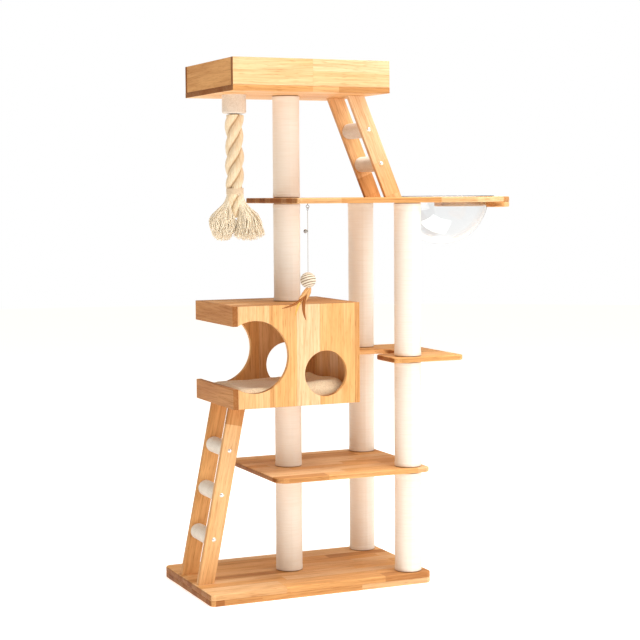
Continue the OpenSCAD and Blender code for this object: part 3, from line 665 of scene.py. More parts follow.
class CATTREE_OT_stage(bpy.types.Operator):
    """Add the camera, the floor and the lights"""

    bl_idname = "cat_tree.stage"
    bl_label = "Add Stage"

    def execute(self, context):
        looks = context.scene.stage_looks
        self.add_camera(context)
        self.add_floor()
        centre = (np.array(FRAME_BOX[0]) + np.array(FRAME_BOX[1])) / 2
        self.add_light("Key", centre + (2.6, -4.6, 1.7), centre, 3.2, looks.key_power, (1.0, 0.985, 0.96))
        self.add_light("Top", centre + (0.5, -0.6, 3.2), centre, 2.6, looks.top_power, (1.0, 0.96, 0.90))
        self.light_sky(context.scene, looks)
        context.scene.view_settings.view_transform = "Standard"
        return {"FINISHED"}

    def add_camera(self, context):
        """Level with the house, seen a little from the left, tipped a few degrees down."""
        place, focal, sensor = (-2.1344, -5.0727, 1.3270), 91.02, 36
        yaw, pitch, roll = (math.radians(a) for a in (23.707, 4.456, 0.375))
        ahead = np.array([math.sin(yaw) * math.cos(pitch), math.cos(yaw) * math.cos(pitch), -math.sin(pitch)])
        right = np.array([math.cos(yaw), -math.sin(yaw), 0.0])
        up = np.cross(right, ahead)
        across = math.cos(roll) * right - math.sin(roll) * up
        upward = math.sin(roll) * right + math.cos(roll) * up
        data = bpy.data.cameras.new("Camera")
        data.lens, data.sensor_width = focal, sensor
        camera = place_object("Camera", data)
        turn = Matrix(np.stack([across, upward, -ahead], 1).tolist()).to_4x4()
        camera.matrix_world = Matrix.Translation(place) @ turn
        context.scene.camera = camera

    def add_floor(self):
        """A round white floor under the tree."""
        mesh = bpy.data.meshes.new("Floor")
        radius, steps = 14.0, 96
        ring = arc(0, 0, radius, 0, 360, steps)[:-1]
        mesh.from_pydata(np.column_stack([ring, np.zeros(steps)]), [], [list(range(steps))])
        m = Finish("Floor White", Roughness=0.9, Emission_Strength=0.60)
        mottle = m.noise(m.coordinates(), 0.8, 2.0)
        m.set(Base_Color=m.mix(mottle, (0.90, 0.895, 0.89), (0.93, 0.925, 0.92)), Emission_Color=(1.0, 1.0, 1.0))
        mesh.materials.append(m.material)
        place_object("Floor", mesh)

    def add_light(self, name, place, aim, size, power, tint):
        data = bpy.data.lights.new(name, "AREA")
        data.size, data.energy, data.color = size, power, tint
        light = place_object(name, data)
        back = normalised(np.asarray(place) - np.asarray(aim))
        right = normalised(np.cross((0, 0, 1), back))
        turn = Matrix(np.stack([right, np.cross(back, right), back], 1).tolist()).to_4x4()
        light.matrix_world = Matrix.Translation(place.tolist()) @ turn

    def light_sky(self, scene, looks):
        """Plain white behind the tree and through its bowl, and a warmer, weaker light from all round on it."""
        world = bpy.data.worlds.new("Studio")
        scene.world = world
        world.use_nodes = True
        nodes, links = world.node_tree.nodes, world.node_tree.links
        nodes.clear()
        glow, seen = nodes.new("ShaderNodeBackground"), nodes.new("ShaderNodeBackground")
        glow.inputs["Color"].default_value = (*looks.sky_colour, 1)
        glow.inputs["Strength"].default_value = looks.sky
        seen.inputs["Color"].default_value = (1, 1, 1, 1)
        path, mix, output = (nodes.new("ShaderNode" + n) for n in ("LightPath", "MixShader", "OutputWorld"))
        clear = nodes.new("ShaderNodeMath")
        clear.operation = "MAXIMUM"
        links.new(path.outputs["Is Camera Ray"], clear.inputs[0])
        links.new(path.outputs["Is Transmission Ray"], clear.inputs[1])
        links.new(clear.outputs[0], mix.inputs[0])
        links.new(glow.outputs[0], mix.inputs[1])
        links.new(seen.outputs[0], mix.inputs[2])
        links.new(mix.outputs[0], output.inputs["Surface"])


# ---- Rope ----

ROPE_X = float(np.mean([c[0] for c in corners("rope")]))
ROPE_R = float(corners("rope")[1][0] - corners("rope")[0][0]) / 2
ROPE_TOP = float(corners("rope")[1][2])
ROPE_LENGTH = 0.345
ROPE_END = ROPE_TOP - ROPE_LENGTH
BINDING = [float(c[2]) for c in corners("rope_binding")]
TUFT_LOW = float(corners("rope_tufts")[0][2])
TUFT_TURN = math.radians(-24)


class CATTREE_OT_rope(bpy.types.Operator):
    """Add the three-strand rope with its holder, binding and frayed ends"""

    bl_idname = "cat_tree.rope"
    bl_label = "Add Rope"

    def execute(self, context):
        looks = context.scene.rope_looks
        finish = cotton("Cotton Rope", tuple(looks.cotton), tuple(looks.groove_shade), looks.strands / looks.lay)
        binding = self.add_binding(looks)
        tufts = self.add_tufts(looks)
        rope = self.add_rope(looks, finish)
        self.add_holder()
        return {"FINISHED"}

    def add_rope(self, looks, finish):
        """Three round strands laid together. At height z the skin's distance from the axis, at angle a from the
        nearest strand's middle, is that of the strand's circle: off * cos a + sqrt(r^2 - (off * sin a)^2)."""
        rows, places = 260, 132
        z = np.linspace(ROPE_TOP, ROPE_END, rows)[:, None]
        angle = ring_angles(places)
        wedge = FULL_TURN / looks.strands
        lead = angle - FULL_TURN * (z - ROPE_TOP) / looks.lay
        across = np.mod(lead + wedge / 2, wedge) - wedge / 2
        off, strand = 0.44, 0.56
        skin_r = off * np.cos(across) + np.sqrt(strand ** 2 - (off * np.sin(across)) ** 2)
        yarn = 0.022 * np.sin(21 * angle + 2.5 * ripple(z * 90, np.sin(angle), 6)) * np.cos(across * math.pi / wedge)
        below = np.clip((ROPE_TOP - z) / 0.006, 0, 1)
        top_edge = np.sqrt(np.clip(1 - (1 - below) ** 2, 0.2, 1))
        pinch = 1 - 0.10 * np.exp(-((z - sum(BINDING) / 2) / 0.016) ** 2)
        taper = 1 - 0.62 * np.clip((BINDING[0] - z) / 0.07, 0, 1)
        swell = 1 + 0.05 * ripple(z * 60, np.sin(lead), 3)
        radius = 1.08 * ROPE_R * (skin_r + yarn) * top_edge * pinch * taper * swell
        rings = upright(ROPE_X, 0.0, radius, angle, z)
        row, spot = np.meshgrid(np.arange(rows - 1), np.arange(places), indexing="ij")
        share_across = np.mod(lead / wedge + 0.5, 1)
        points, faces, _ = skin(rings)
        step = 1 / places * looks.strands
        u = share_across[row, spot]
        run = (ROPE_TOP - z)[:, 0]
        uv = np.stack([np.stack([u, run[row]], -1), np.stack([u + step, run[row]], -1),
                       np.stack([u + step, run[row + 1]], -1), np.stack([u, run[row + 1]], -1)], 2)
        rope = piece("twisted_rope", points, faces, finish, "cotton_rope", ["rope"], None, uv, crease=60)
        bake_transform(rope)
        return rope

    def add_binding(self, looks):
        """A thin cord wound round the rope: a helix that climbs its own thickness each turn."""
        turn = np.linspace(0, looks.turns, looks.turns * 48 + 1)
        thick = (BINDING[1] - BINDING[0]) / (looks.turns + 1)
        radius = ROPE_R * 0.97
        path = np.stack([ROPE_X + radius * np.cos(FULL_TURN * turn), radius * np.sin(FULL_TURN * turn),
                         BINDING[0] + thick * (turn + 0.5)], -1)[None]
        points, faces, uv = tubes(path, np.full(path.shape[:2], thick * 0.56), 10, (0, 0, 1))
        finish = strands("Binding Cord", (0.84, 0.70, 0.52), (0.55, 0.38, 0.22))
        return piece("wound_binding", points, faces, finish, "binding_cord", ["rope_binding"], "rope", uv)

    def add_tufts(self, looks):
        """Two frayed ends. The middle of one moves sideways on a smooth step as it drops. Each fibre keeps its own
        place in a disc about that middle, which opens on a second smooth step and closes a little at the tips, and
        two random waves curl it."""
        rng = np.random.default_rng(11)
        rows = 15
        top = BINDING[0] + 0.012
        drop = top - TUFT_LOW
        share_down = np.linspace(0, 1, rows)[None, :, None]
        turn = np.array([math.cos(TUFT_TURN), math.sin(TUFT_TURN), 0.0])
        depth = np.array([-turn[1], turn[0], 0.0])
        made = []
        for way, spread, deep, curl, opened, tuck in ((-0.042, 0.044, 0.037, 0.0100, 0.78, 0.35),
                                                      (0.044, 0.054, 0.037, 0.0055, 1.05, 0.0)):
            count = looks.fibres
            angle, out = rng.uniform(0, FULL_TURN, (count, 1, 1)), np.sqrt(rng.uniform(0, 1, (count, 1, 1)))
            open_up = smooth(share_down, 0.28, opened) - tuck * smooth(share_down, 0.75, 1.0)
            wide = 0.013 + (spread - 0.013) * open_up
            thick = 0.013 + (deep - 0.013) * open_up
            middle = math.copysign(0.011, way) + (way - math.copysign(0.011, way)) * smooth(share_down, 0.0, 0.75)
            path = (middle + wide * out * np.cos(angle)) * turn + thick * out * np.sin(angle) * depth
            fall = drop * (1 - 0.20 * rng.uniform(0, 1, (count, 1, 1)) ** 2 - 0.10 * out ** 3)
            path = path + np.array([ROPE_X, 0, top]) - fall * share_down * np.array([0, 0, 1.0])
            for wave in range(2):
                size = curl * rng.uniform(0.3, 1, (count, 1, 1)) / (wave + 1)
                pace = rng.uniform(5, 10, (count, 1, 1)) * (wave + 1)
                heading = rng.uniform(0, FULL_TURN, (count, 1, 1))
                swing = np.sin(share_down * pace + rng.uniform(0, FULL_TURN, (count, 1, 1))) * size
                swing = swing * smooth(share_down, 0.3, 0.7)
                path = path + swing * (np.cos(heading) * turn + np.sin(heading) * depth)
            made.append(path)
        paths = np.concatenate(made)
        radii = 0.0027 * rng.uniform(0.7, 1.25, (len(paths), 1)) * (1 - 0.62 * share_down[:, :, 0] ** 2)
        points, faces, uv = tubes(paths, radii, 4, (1, 0.2, 0))
        finish = strands("Frayed Cotton", (1.0, 0.92, 0.76), (0.95, 0.76, 0.51))
        return piece("frayed_ends", points, faces, finish, "cotton_rope", ["rope_tufts"], "rope", uv, crease=180)

    def add_holder(self):
        """The plush cup on the rope's stub: a turned cup with a soft lower edge and a slightly lumpy pile."""
        looks = bpy.context.scene.cloth_looks
        low, high = corners("rope_holder_wrap")
        radius = (high[0] - low[0]) / 2
        bend = np.radians(np.linspace(-90, 0, 12))
        soft = 0.006
        profile = np.concatenate([
            np.stack([np.linspace(0.002, radius - soft, 14), np.full(14, low[2])], 1),
            np.stack([radius - soft + soft * np.cos(bend), low[2] + soft + soft * np.sin(bend)], 1)[1:],
            np.stack([np.full(40, radius), np.linspace(low[2] + soft, high[2], 41)[1:]], 1),
            [[radius - 0.003, high[2]], [radius - 0.003, low[2] + 0.003], [0.002, low[2] + 0.003]]])
        rings = lathe(profile, (ROPE_X, 0.0), 160)
        grow = rough_pile(rings, looks.pile, 5)
        grow[-3:] = 0
        out = rings - np.array([ROPE_X, 0, 0])
        flat = normalised(out * [1, 1, 0] + [0, 0, 1e-9])
        rings = rings + flat * grow[..., None]
        points, faces, _ = skin(rings)
        finish = plush("Grey Plush", tuple(looks.grey_plush))
        piece("holder_plush", points, faces, finish, "grey_plush", ["rope_holder_wrap"])


def rough_pile(rings, size, seed):
    """How far each point of a plush skin stands out: broad lumps and a seeded random part, up to the pile's size."""
    rng = np.random.default_rng(seed)
    broad = ripple(rings[..., 0] * 260 + rings[..., 1] * 180, rings[..., 2] * 240, seed)
    return size * (0.5 * broad + rng.uniform(-0.5, 0.5, rings.shape[:2]))


# ---- Toy ----

STRING_X, STRING_Y = (float(np.mean(c)) for c in zip(*[v[:2] for v in corners("toy_string")]))
STRING_TOP = float(corners("toy_string")[1][2])
STRING_LENGTH = 0.200
BALL_CENTRE = (corners("toy_ball")[0] + corners("toy_ball")[1]) / 2
BALL_R = float(corners("toy_ball")[1][2] - corners("toy_ball")[0][2]) / 2
# Quill curves as three points from the ball's centre, then the widest half width, and whether it is downy
FEATHERS = [
    ("tan", ((0.006, 0, -0.022), (-0.004, -0.004, -0.038), (-0.034, -0.002, -0.062)), 0.011, 0.30),
    ("tan", ((0.004, 0, -0.022), (0.000, 0.004, -0.044), (-0.024, 0.003, -0.072)), 0.010, 0.30),
    ("tan", ((0.008, 0, -0.022), (0.006, 0.003, -0.046), (-0.010, 0.004, -0.072)), 0.009, 0.30),
    ("brown", ((0.000, 0, -0.024), (-0.012, -0.002, -0.076), (-0.092, 0.002, -0.090)), 0.0046, 0.08),
    ("brown", ((0.000, 0, -0.024), (-0.028, 0.002, -0.084), (-0.009, -0.002, -0.131)), 0.0050, 0.08),
    ("gold", ((-0.002, 0, -0.024), (-0.030, 0.003, -0.060), (-0.048, -0.003, -0.117)), 0.0052, 0.12),
]


class CATTREE_OT_toy(bpy.types.Operator):
    """Add the hanging toy: string, wound ball, feathers, bell, ring and eye screw"""

    bl_idname = "cat_tree.toy"
    bl_label = "Add Toy"

    def execute(self, context):
        looks = context.scene.toy_looks
        ball = self.add_ball(looks)
        bright = metal("Polished Steel", (0.34, 0.33, 0.32), 0.14)
        for node in ("toy_bell", "toy_ring", "toy_eye_screw"):
            dress(node, bright)
        string = self.add_string()
        self.add_feathers(looks)
        return {"FINISHED"}

    def add_string(self):
        """A thin braided string: its skin is a tube with two shallow crossing waves."""
        rows, places = 400, 12
        z = np.linspace(STRING_TOP, STRING_TOP - STRING_LENGTH, rows)[:, None]
        angle = ring_angles(places)
        pitch = 1800
        wave = np.sin(2 * angle + z * pitch) + np.sin(2 * angle - z * pitch)
        radius = 0.00097 + 0.00004 * wave
        rings = upright(STRING_X, STRING_Y, radius, angle, z)
        points, faces, uv = skin(rings, u=np.linspace(0, 1, places + 1), v=(STRING_TOP - z)[:, 0])
        finish = strands("Elastic String", (0.50, 0.46, 0.41), (0.36, 0.32, 0.27))
        return piece("string_braid", points, faces, finish, "elastic_string", ["toy_string"], "toy", uv)

    def add_ball(self, looks):
        """A ball wound with flat cord. Its turns lie side by side from pole to pole of an axis that tips back
        and to the left, and each turn's crown is a half circle across the band."""
        rows, places = 150, 96
        polar = np.linspace(0.02, math.pi - 0.02, rows)[:, None]
        angle = ring_angles(places)
        run = BALL_R * polar
        across = np.mod(run / looks.band, 1) * 2 - 1
        crown = np.sqrt(np.clip(1 - across ** 2, 0, 1))
        cord_high = 0.0017
        radius = BALL_R - cord_high + cord_high * crown
        flat = upright(0, 0, radius * np.sin(polar), angle, radius * np.cos(polar))
        tip_side, tip_back = math.radians(-9), math.radians(-18)
        turn = np.array(Matrix.Rotation(tip_side, 3, "Y") @ Matrix.Rotation(tip_back, 3, "X"))
        rings = flat @ turn.T + BALL_CENTRE
        points, faces, uv = skin(rings, u=np.linspace(0, FULL_TURN * BALL_R, places + 1), v=run[:, 0])
        return piece("wound_ball", points, faces, wound_cord(), "wound_cord", ["toy_ball"], "toy", uv, crease=120)

    def add_feathers(self, looks):
        """Each feather is a thin blade along a quadratic curve. Its width rises and falls with the sine of the
        share along it, less saw-tooth notches between the barbs, and the quill is a thicker ridge."""
        finishes = {kind: feather_finish(f"{kind.title()} Feather", tuple(getattr(looks, f"{kind}_feather")))
                    for kind in ("tan", "brown", "gold")}
        stood_for = {"nodes": ["toy_feathers"]}
        for number, (kind, quill, half_width, notch) in enumerate(FEATHERS):
            rng = np.random.default_rng(40 + number)
            t = np.linspace(0, 1, 70)[:, None]
            a, b, c = (np.array(q) for q in quill)
            line = (1 - t) ** 2 * a + 2 * t * (1 - t) * b + t ** 2 * c + BALL_CENTRE
            ahead = normalised(np.gradient(line, axis=0))
            tilt = rng.uniform(-0.5, 0.5)
            facing = np.array([math.sin(tilt), -math.cos(tilt), 0.0])
            across = normalised(np.cross(ahead, facing))
            out = np.cross(across, ahead)
            saw = np.mod(t * rng.integers(16, 22) + rng.uniform(0, 1), 1) * notch * rng.uniform(0.6, 1.4, t.shape)
            width = half_width * np.sin(math.pi * t ** 0.8) ** 0.7 * (1 - saw) + 0.0006
            shares = np.array([-1, -0.5, -0.12, 0, 0.12, 0.5, 1, 0.5, 0.12, 0, -0.12, -0.5])
            bulge = np.array([0, 0.12, 0.2, 0.5, 0.2, 0.12, 0, -0.12, -0.2, -0.5, -0.2, -0.12]) * MM
            cup = -0.18 * half_width * np.abs(shares) ** 2
            rings = (line[:, None] + across[:, None] * (width * shares)[..., None]
                     + out[:, None] * (bulge + cup)[None, :, None])
            u = np.append((shares + 1) / 2, (shares[0] + 1) / 2)
            run = np.linspace(0, np.linalg.norm(c - a), 70)
            points, faces, uv = skin(rings, u=u, v=run)
            piece(f"{kind}_feather_{number + 1}", points, faces, finishes[kind], "feathers", body="toy", uv=uv,
                  crease=80, **stood_for)
            stood_for = {}


# ---- Boards ----

STAVE = 0.0476  # width of the shelves' staves


def titled(node):
    """A frame node's name as words."""
    return node.replace("_", " ").title()


def dress(node, finish):
    """Gives a frame node that stays in view one finish."""
    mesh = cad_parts[node].data
    mesh.materials.clear()
    mesh.materials.append(finish)


BOWL_X = float((corners("bowl")[0][0] + corners("bowl")[1][0]) / 2)
BOLT_RECESS, BOLT_RECESS_R = 6.0 * MM, 8.5 * MM
SCREW_RECESS, SCREW_RECESS_R = 2.6 * MM, 4.6 * MM
RAIL_Y = 81 * MM


def post_axes(*nodes):
    return [tuple((corners(n)[0] + corners(n)[1])[:2] / 2) for n in nodes]


LEFT_AXIS, REAR_AXIS, RIGHT_AXIS = post_axes("low_left_wrap", "low_rear_wrap", "low_right_wrap")


def bolt_recesses(axes, side):
    return [(x, y, BOLT_RECESS_R, BOLT_RECESS, side) for x, y in axes]


def screw_recesses(x, side, depth_ways=(-RAIL_Y, RAIL_Y)):
    return [(x, y, SCREW_RECESS_R, SCREW_RECESS, side) for y in depth_ways]


def ladder_line(rail):
    """A rail's foot and head, as (x, z) on its middle line, and its width along X."""
    low, high = corners(rail)
    points = np.array([v.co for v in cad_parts[rail].data.vertices])
    foot = points[points[:, 2] < low[2] + MM][:, 0]
    head = points[points[:, 2] > high[2] - MM][:, 0]
    return ((foot.min() + foot.max()) / 2, low[2]), ((head.min() + head.max()) / 2, high[2]), np.ptp(foot)


class CATTREE_OT_shelves(bpy.types.Operator):
    """Add the base, the shelves and the deck"""

    bl_idname = "cat_tree.shelves"
    bl_label = "Add Shelves"

    def execute(self, context):
        looks = context.scene.wood_looks
        soft = looks.round_over
        self.add_base(soft)
        low, high = corners("middle_shelf")
        finish = wood("Middle Shelf Wood", "XYZ", low, stave=STAVE, block=0.33, seed=5, tone=0.12, spread=0.7)
        board("middle_shelf_board", rounded(low[0], high[0], low[1], high[1], (0.046, 0.020, 0.020, 0.046)),
              low[2], high[2], finish, ["middle_shelf"], rounding=(soft, soft))
        self.add_step_shelf(soft)
        self.add_deck(0.003)
        return {"FINISHED"}

    def add_base(self, soft):
        foot = ladder_line("lower_front_rail")[0][0]
        for node, seed, rounding, recesses, patches in (
            ("base_plinth", 21, (soft, 0.0015),
             bolt_recesses((LEFT_AXIS, REAR_AXIS, RIGHT_AXIS), 0) + screw_recesses(foot, 0),
             [(0.016, 0.046, -0.01, 0.02, 1.3)]),
            ("base_board", 8, (0.0015, soft), [], []),
        ):
            low, high = corners(node)
            finish = wood(titled(node) + " Wood", "XYZ", low, stave=STAVE, block=0.36,
                          seed=seed, tone=0.08, spread=0.8, patches=patches)
            board(f"{node}_wood", rounded(low[0], high[0], low[1], high[1], (0.020,) * 4), low[2], high[2],
                  finish, [node], rounding=rounding, recesses=recesses)

    def add_step_shelf(self, soft):
        """A rectangle with a round-cornered bite in the middle of its left edge."""
        low, high = corners("step_shelf")
        corner, half, deep, bend = 0.020, 0.084, 0.120, 0.050
        inner = low[0] + deep
        outline = np.concatenate([
            arc(low[0] + corner, low[1] + corner, corner, 180, 270),
            arc(high[0] - corner, low[1] + corner, corner, 270, 360),
            arc(high[0] - corner, high[1] - corner, corner, 0, 90),
            arc(low[0] + corner, high[1] - corner, corner, 90, 180),
            arc(low[0] + corner, half + corner, corner, 180, 270),
            arc(inner - bend, half - bend, bend, 90, 0),
            arc(inner - bend, bend - half, bend, 0, -90),
            arc(low[0] + corner, -half - corner, corner, 90, 180)])
        finish = wood("Step Shelf Wood", "XYZ", low, stave=STAVE, block=0.30, seed=3, tone=0.32, spread=0.5)
        board("step_shelf_board", outline, low[2], high[2], finish, ["step_shelf"], rounding=(soft, soft))

    def add_deck(self, soft):
        """A long board with a half-round end about the bowl's hole, and the stiffening ring under that end."""
        low, high = corners("deck")
        end_r = (high[1] - low[1]) / 2
        hole_r = 0.167
        outline = np.concatenate([
            arc(low[0] + 0.020, low[1] + 0.020, 0.020, 180, 270),
            arc(BOWL_X, 0, end_r, -90, 90, 96),
            arc(low[0] + 0.020, high[1] - 0.020, 0.020, 90, 180)])
        hole = arc(BOWL_X, 0, hole_r, 0, -360, 128)[:-1]
        foot = ladder_line("upper_front_rail")[0][0]
        finish = wood("Deck Wood", "XYZ", low, stave=STAVE, block=0.37, seed=12, tone=0.12, spread=0.7)
        board("deck_board", outline, low[2], high[2], finish, ["deck"], rounding=(soft, soft), openings=[hole],
              recesses=bolt_recesses((REAR_AXIS, RIGHT_AXIS), 1) + screw_recesses(foot, 0))
        low, high = corners("deck_rim")
        inner_r = end_r - 0.053
        cut = low[0] - BOWL_X
        wide, narrow = (math.degrees(math.acos(cut / r)) for r in (end_r, inner_r))
        outline = np.concatenate([
            arc(BOWL_X, 0, end_r, -wide, wide, 64),
            arc(BOWL_X, 0, inner_r, narrow, -narrow, 64)])
        middle = (end_r + inner_r) / 2
        screws = [(BOWL_X + middle * math.cos(math.radians(a)), middle * math.sin(math.radians(a)),
                   SCREW_RECESS_R, SCREW_RECESS, 0) for a in (-48, -16, 16, 48)]
        finish = wood("Deck Ring Wood", "YXZ", low, stave=0.06, block=0.30, seed=9, tone=0.25)
        board("deck_ring", outline, low[2], high[2], finish, ["deck_rim"], rounding=(soft, soft), recesses=screws)


class CATTREE_OT_house(bpy.types.Operator):
    """Add the boards of the house"""

    bl_idname = "cat_tree.house"
    bl_label = "Add House"

    def execute(self, context):
        for node, seed in (("house_front", 14), ("house_back", 4)):
            self.add_panel(node, seed)
        for node, seed, axes, tone in (
            ("house_right_wall", 6, "ZYX", 0.1), ("house_upper_strip", 7, "YZX", 0.3),
            ("house_lower_strip", 2, "YZX", 0.3)):
            # The right wall's front edge gets a darker stave tone. The strips get a dark even shade: partly their own
            # brown grain and partly painted shade for their faces turned from the light
            edge = [(-1, 1, -0.01, 0.02, 0.55)] if axes == "ZYX" else [(-1, 1, -1, 1, 0.9)]
            finish = wood(titled(node), axes, corners(node)[0], stave=0.068, block=1.0,
                          seed=seed, tone=tone, spread=0.4, stagger=0, end=0.35, patches=edge)
            panel(f"{node}_board", node, finish)
        head = ladder_line("lower_front_rail")[1][0]
        for node, seed, side, recesses in (
            ("house_floor", 15, 1, bolt_recesses([LEFT_AXIS], 1) + screw_recesses(head, 1)),
            ("house_roof", 16, 0, bolt_recesses([LEFT_AXIS], 0))):
            finish = wood(titled(node), "XYZ", corners(node)[0], stave=0.054, block=0.36,
                          seed=seed, tone=0.1)
            panel(f"{node}_board", node, finish, recesses=recesses)
        return {"FINISHED"}

    def add_panel(self, node, seed):
        """A panel whose left edge opens into a large round doorway, with a round window in its lower right."""
        low, high = corners(node)
        strip = corners("house_lower_strip")[1][2] - corners("house_lower_strip")[0][2]
        door_r, door_x, door_z = 0.119, low[0] + 0.060, (low[2] + high[2]) / 2
        reach = math.degrees(math.asin((high[2] - low[2] - 2 * strip) / 2 / door_r))
        outline = np.concatenate([
            [[low[0], low[2]], [high[0], low[2]], [high[0], high[2]], [low[0], high[2]]],
            arc(door_x, door_z, door_r, 180 - reach, -180 + reach, 96)])
        window_x, window_z, window_r = low[0] + 0.312, low[2] + 0.104, 0.076
        window = arc(window_x, window_z, window_r, 0, -360, 96)[:-1]
        staves = [(0, 0.110, 0.26), (0.110, 0.124, 0.70), (0.124, 0.2075, 0.42), (0.2075, 0.291, 0.0),
                  (0.291, 0.418, 0.42)]
        part_stave = 0.0405
        patches = [(-0.01, 1, near - part_stave, far - part_stave, shade) for near, far, shade in staves]
        finish = wood(titled(node), "ZXY", low + (part_stave, 0, 0), stave=0.0835, block=1.0, seed=seed,
                      tone=0.15, spread=0.5, stagger=0, patches=patches if node == "house_front" else ())
        board(f"{node}_board", outline, low[1], high[1], finish, [node], "XZY", openings=[window])


class CATTREE_OT_tray(bpy.types.Operator):
    """Add the boards of the top tray"""

    bl_idname = "cat_tree.tray"
    bl_label = "Add Tray"

    def execute(self, context):
        head = ladder_line("upper_front_rail")[1][0]
        recesses = bolt_recesses([LEFT_AXIS], 1) + screw_recesses(head, 1) + screw_recesses(ROPE_X, 1, [0.0])
        everywhere = (-1, 1, -1, 1)
        for node, seed, axes, stave, block, patches, details in (
            ("tray_bottom", 31, "XYZ", 0.046, 1.0, [(0, 0.277, -0.01, 0.046, 0.55), (0.277, 0.369, -0.01, 0.046, 0.3),
                                                   (0.369, 1, -0.01, 0.046, 0.7)], {"recesses": recesses}),
            ("tray_front", 32, "XZY", 0.048, 0.277, [(-0.01, 0.277, -1, 1, 0.16), (0.277, 1, -1, 0.048, 0.16),
                                                    (0.277, 1, 0.048, 1, 0.0)], {}),
            ("tray_back", 33, "XZY", 0.048, 0.277, [], {}),
            # The left side's even dark shade is partly its own even brown and partly painted shade for the side
            # turned from the light
            ("tray_left_side", 34, "YZX", 0.048, 1.0, [(*everywhere, 0.62)], {}),
            ("tray_right_side", 35, "YZX", 0.048, 1.0, [], {})):
            finish = wood(titled(node), axes, corners(node)[0], stave=stave, block=block,
                          seed=seed, tone=0.12, spread=0.5, stagger=0, patches=patches)
            panel(f"{node}_board", node, finish, **details)
        return {"FINISHED"}


class CATTREE_OT_ladders(bpy.types.Operator):
    """Add the ladders' rails, plush rungs and domed bolts"""

    bl_idname = "cat_tree.ladders"
    bl_label = "Add Ladders"

    def execute(self, context):
        for node, seed, shades in (
            ("lower_front_rail", 51, [(-1, 0.541, 0.30), (0.541, 1, 0.78)]),
            ("lower_rear_rail", 52, [(-1, 1, 0.55)]),
            ("upper_front_rail", 53, [(-1, 0.12, 0.18), (0.12, 1, 0.0)]),
            ("upper_rear_rail", 54, [(-1, 0.07, 0.7), (0.07, 1, 0.26)])):
            self.add_rail(node, seed, [(near, far, -1, 1, shade) for near, far, shade in shades])
        finish = plush("Rung Plush", tuple(context.scene.cloth_looks.grey_plush))
        for ladder, count in (("lower", 3), ("upper", 2)):
            self.add_rungs(context, ladder, count, finish)
        dress("ladder_bolts", metal("Domed Caps", (0.92, 0.91, 0.90), 0.26))
        return {"FINISHED"}

    def add_rail(self, node, seed, patches):
        """A leaning rail with level ends, so its outline is a parallelogram."""
        (foot_x, foot_z), (head_x, head_z), wide = ladder_line(node)
        low, high = corners(node)
        half = wide / 2
        outline = np.array([[foot_x - half, foot_z], [foot_x + half, foot_z],
                            [head_x + half, head_z], [head_x - half, head_z]])
        lean = math.atan2(head_x - foot_x, head_z - foot_z)
        start = Matrix.Rotation(lean, 3, "Y").inverted() @ Vector((foot_x - half, low[1], foot_z))
        finish = wood(titled(node), "ZXY", start, turn=-lean, stave=0.08, block=2.0, seed=seed,
                      stagger=0, patches=patches)
        board(f"{node}_wood", outline, low[1], high[1], finish, [node], "XZY")

    def add_rungs(self, context, ladder, count, finish):
        """Plush sleeves round the rungs: rings along Y whose radius follows the lumpy pile."""
        looks = context.scene.cloth_looks
        (foot_x, foot_z), (head_x, head_z), _ = ladder_line(f"{ladder}_front_rail")
        low, high = corners(f"{ladder}_rungs_wrap")
        node_points = np.array([v.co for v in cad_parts[f"{ladder}_rungs_wrap"].data.vertices])
        rungs = []
        for rung in range(1, count + 1):
            share_up = rung / (count + 1)
            x, z = foot_x + (head_x - foot_x) * share_up, foot_z + (head_z - foot_z) * share_up
            near = np.abs(node_points[:, 2] - z) < 0.03
            radius = np.ptp(node_points[near][:, 2]) / 2
            y = np.linspace(low[1], high[1], 90)[:, None]
            angle = ring_angles(110)
            end = np.minimum(y - low[1], high[1] - y)
            lip = 0.0015 * np.clip(1 - end / 0.003, 0, 1)
            rings = np.stack([x + 0 * angle + 0 * y, y + 0 * angle, z + 0 * angle + 0 * y], -1)
            pile = rough_pile(np.stack([angle * radius + 0 * y, 0 * angle + y, rung + 0 * angle * y], -1),
                              looks.pile, 60 + rung)
            r = radius + pile - lip
            outer = rings + np.stack([r * np.cos(angle), 0 * r, r * np.sin(angle)], -1)
            hole = radius - 0.003
            inner = rings + np.stack([hole * np.cos(angle) + 0 * y, 0 * r, hole * np.sin(angle) + 0 * y], -1)
            rungs.append(np.concatenate([outer, inner[::-1]]))
        points, faces = [], []
        for rings in rungs:
            faces += [[i + len(points) * rings.shape[0] * rings.shape[1] for i in face]
                      for face in skin(rings, ring_wraps=True)[1]]
            points.append(rings.reshape(-1, 3))
        piece(f"{ladder}_rung_plush", np.concatenate(points), faces, finish, "grey_plush",
              [f"{ladder}_rungs_wrap"])


# ---- Posts ----


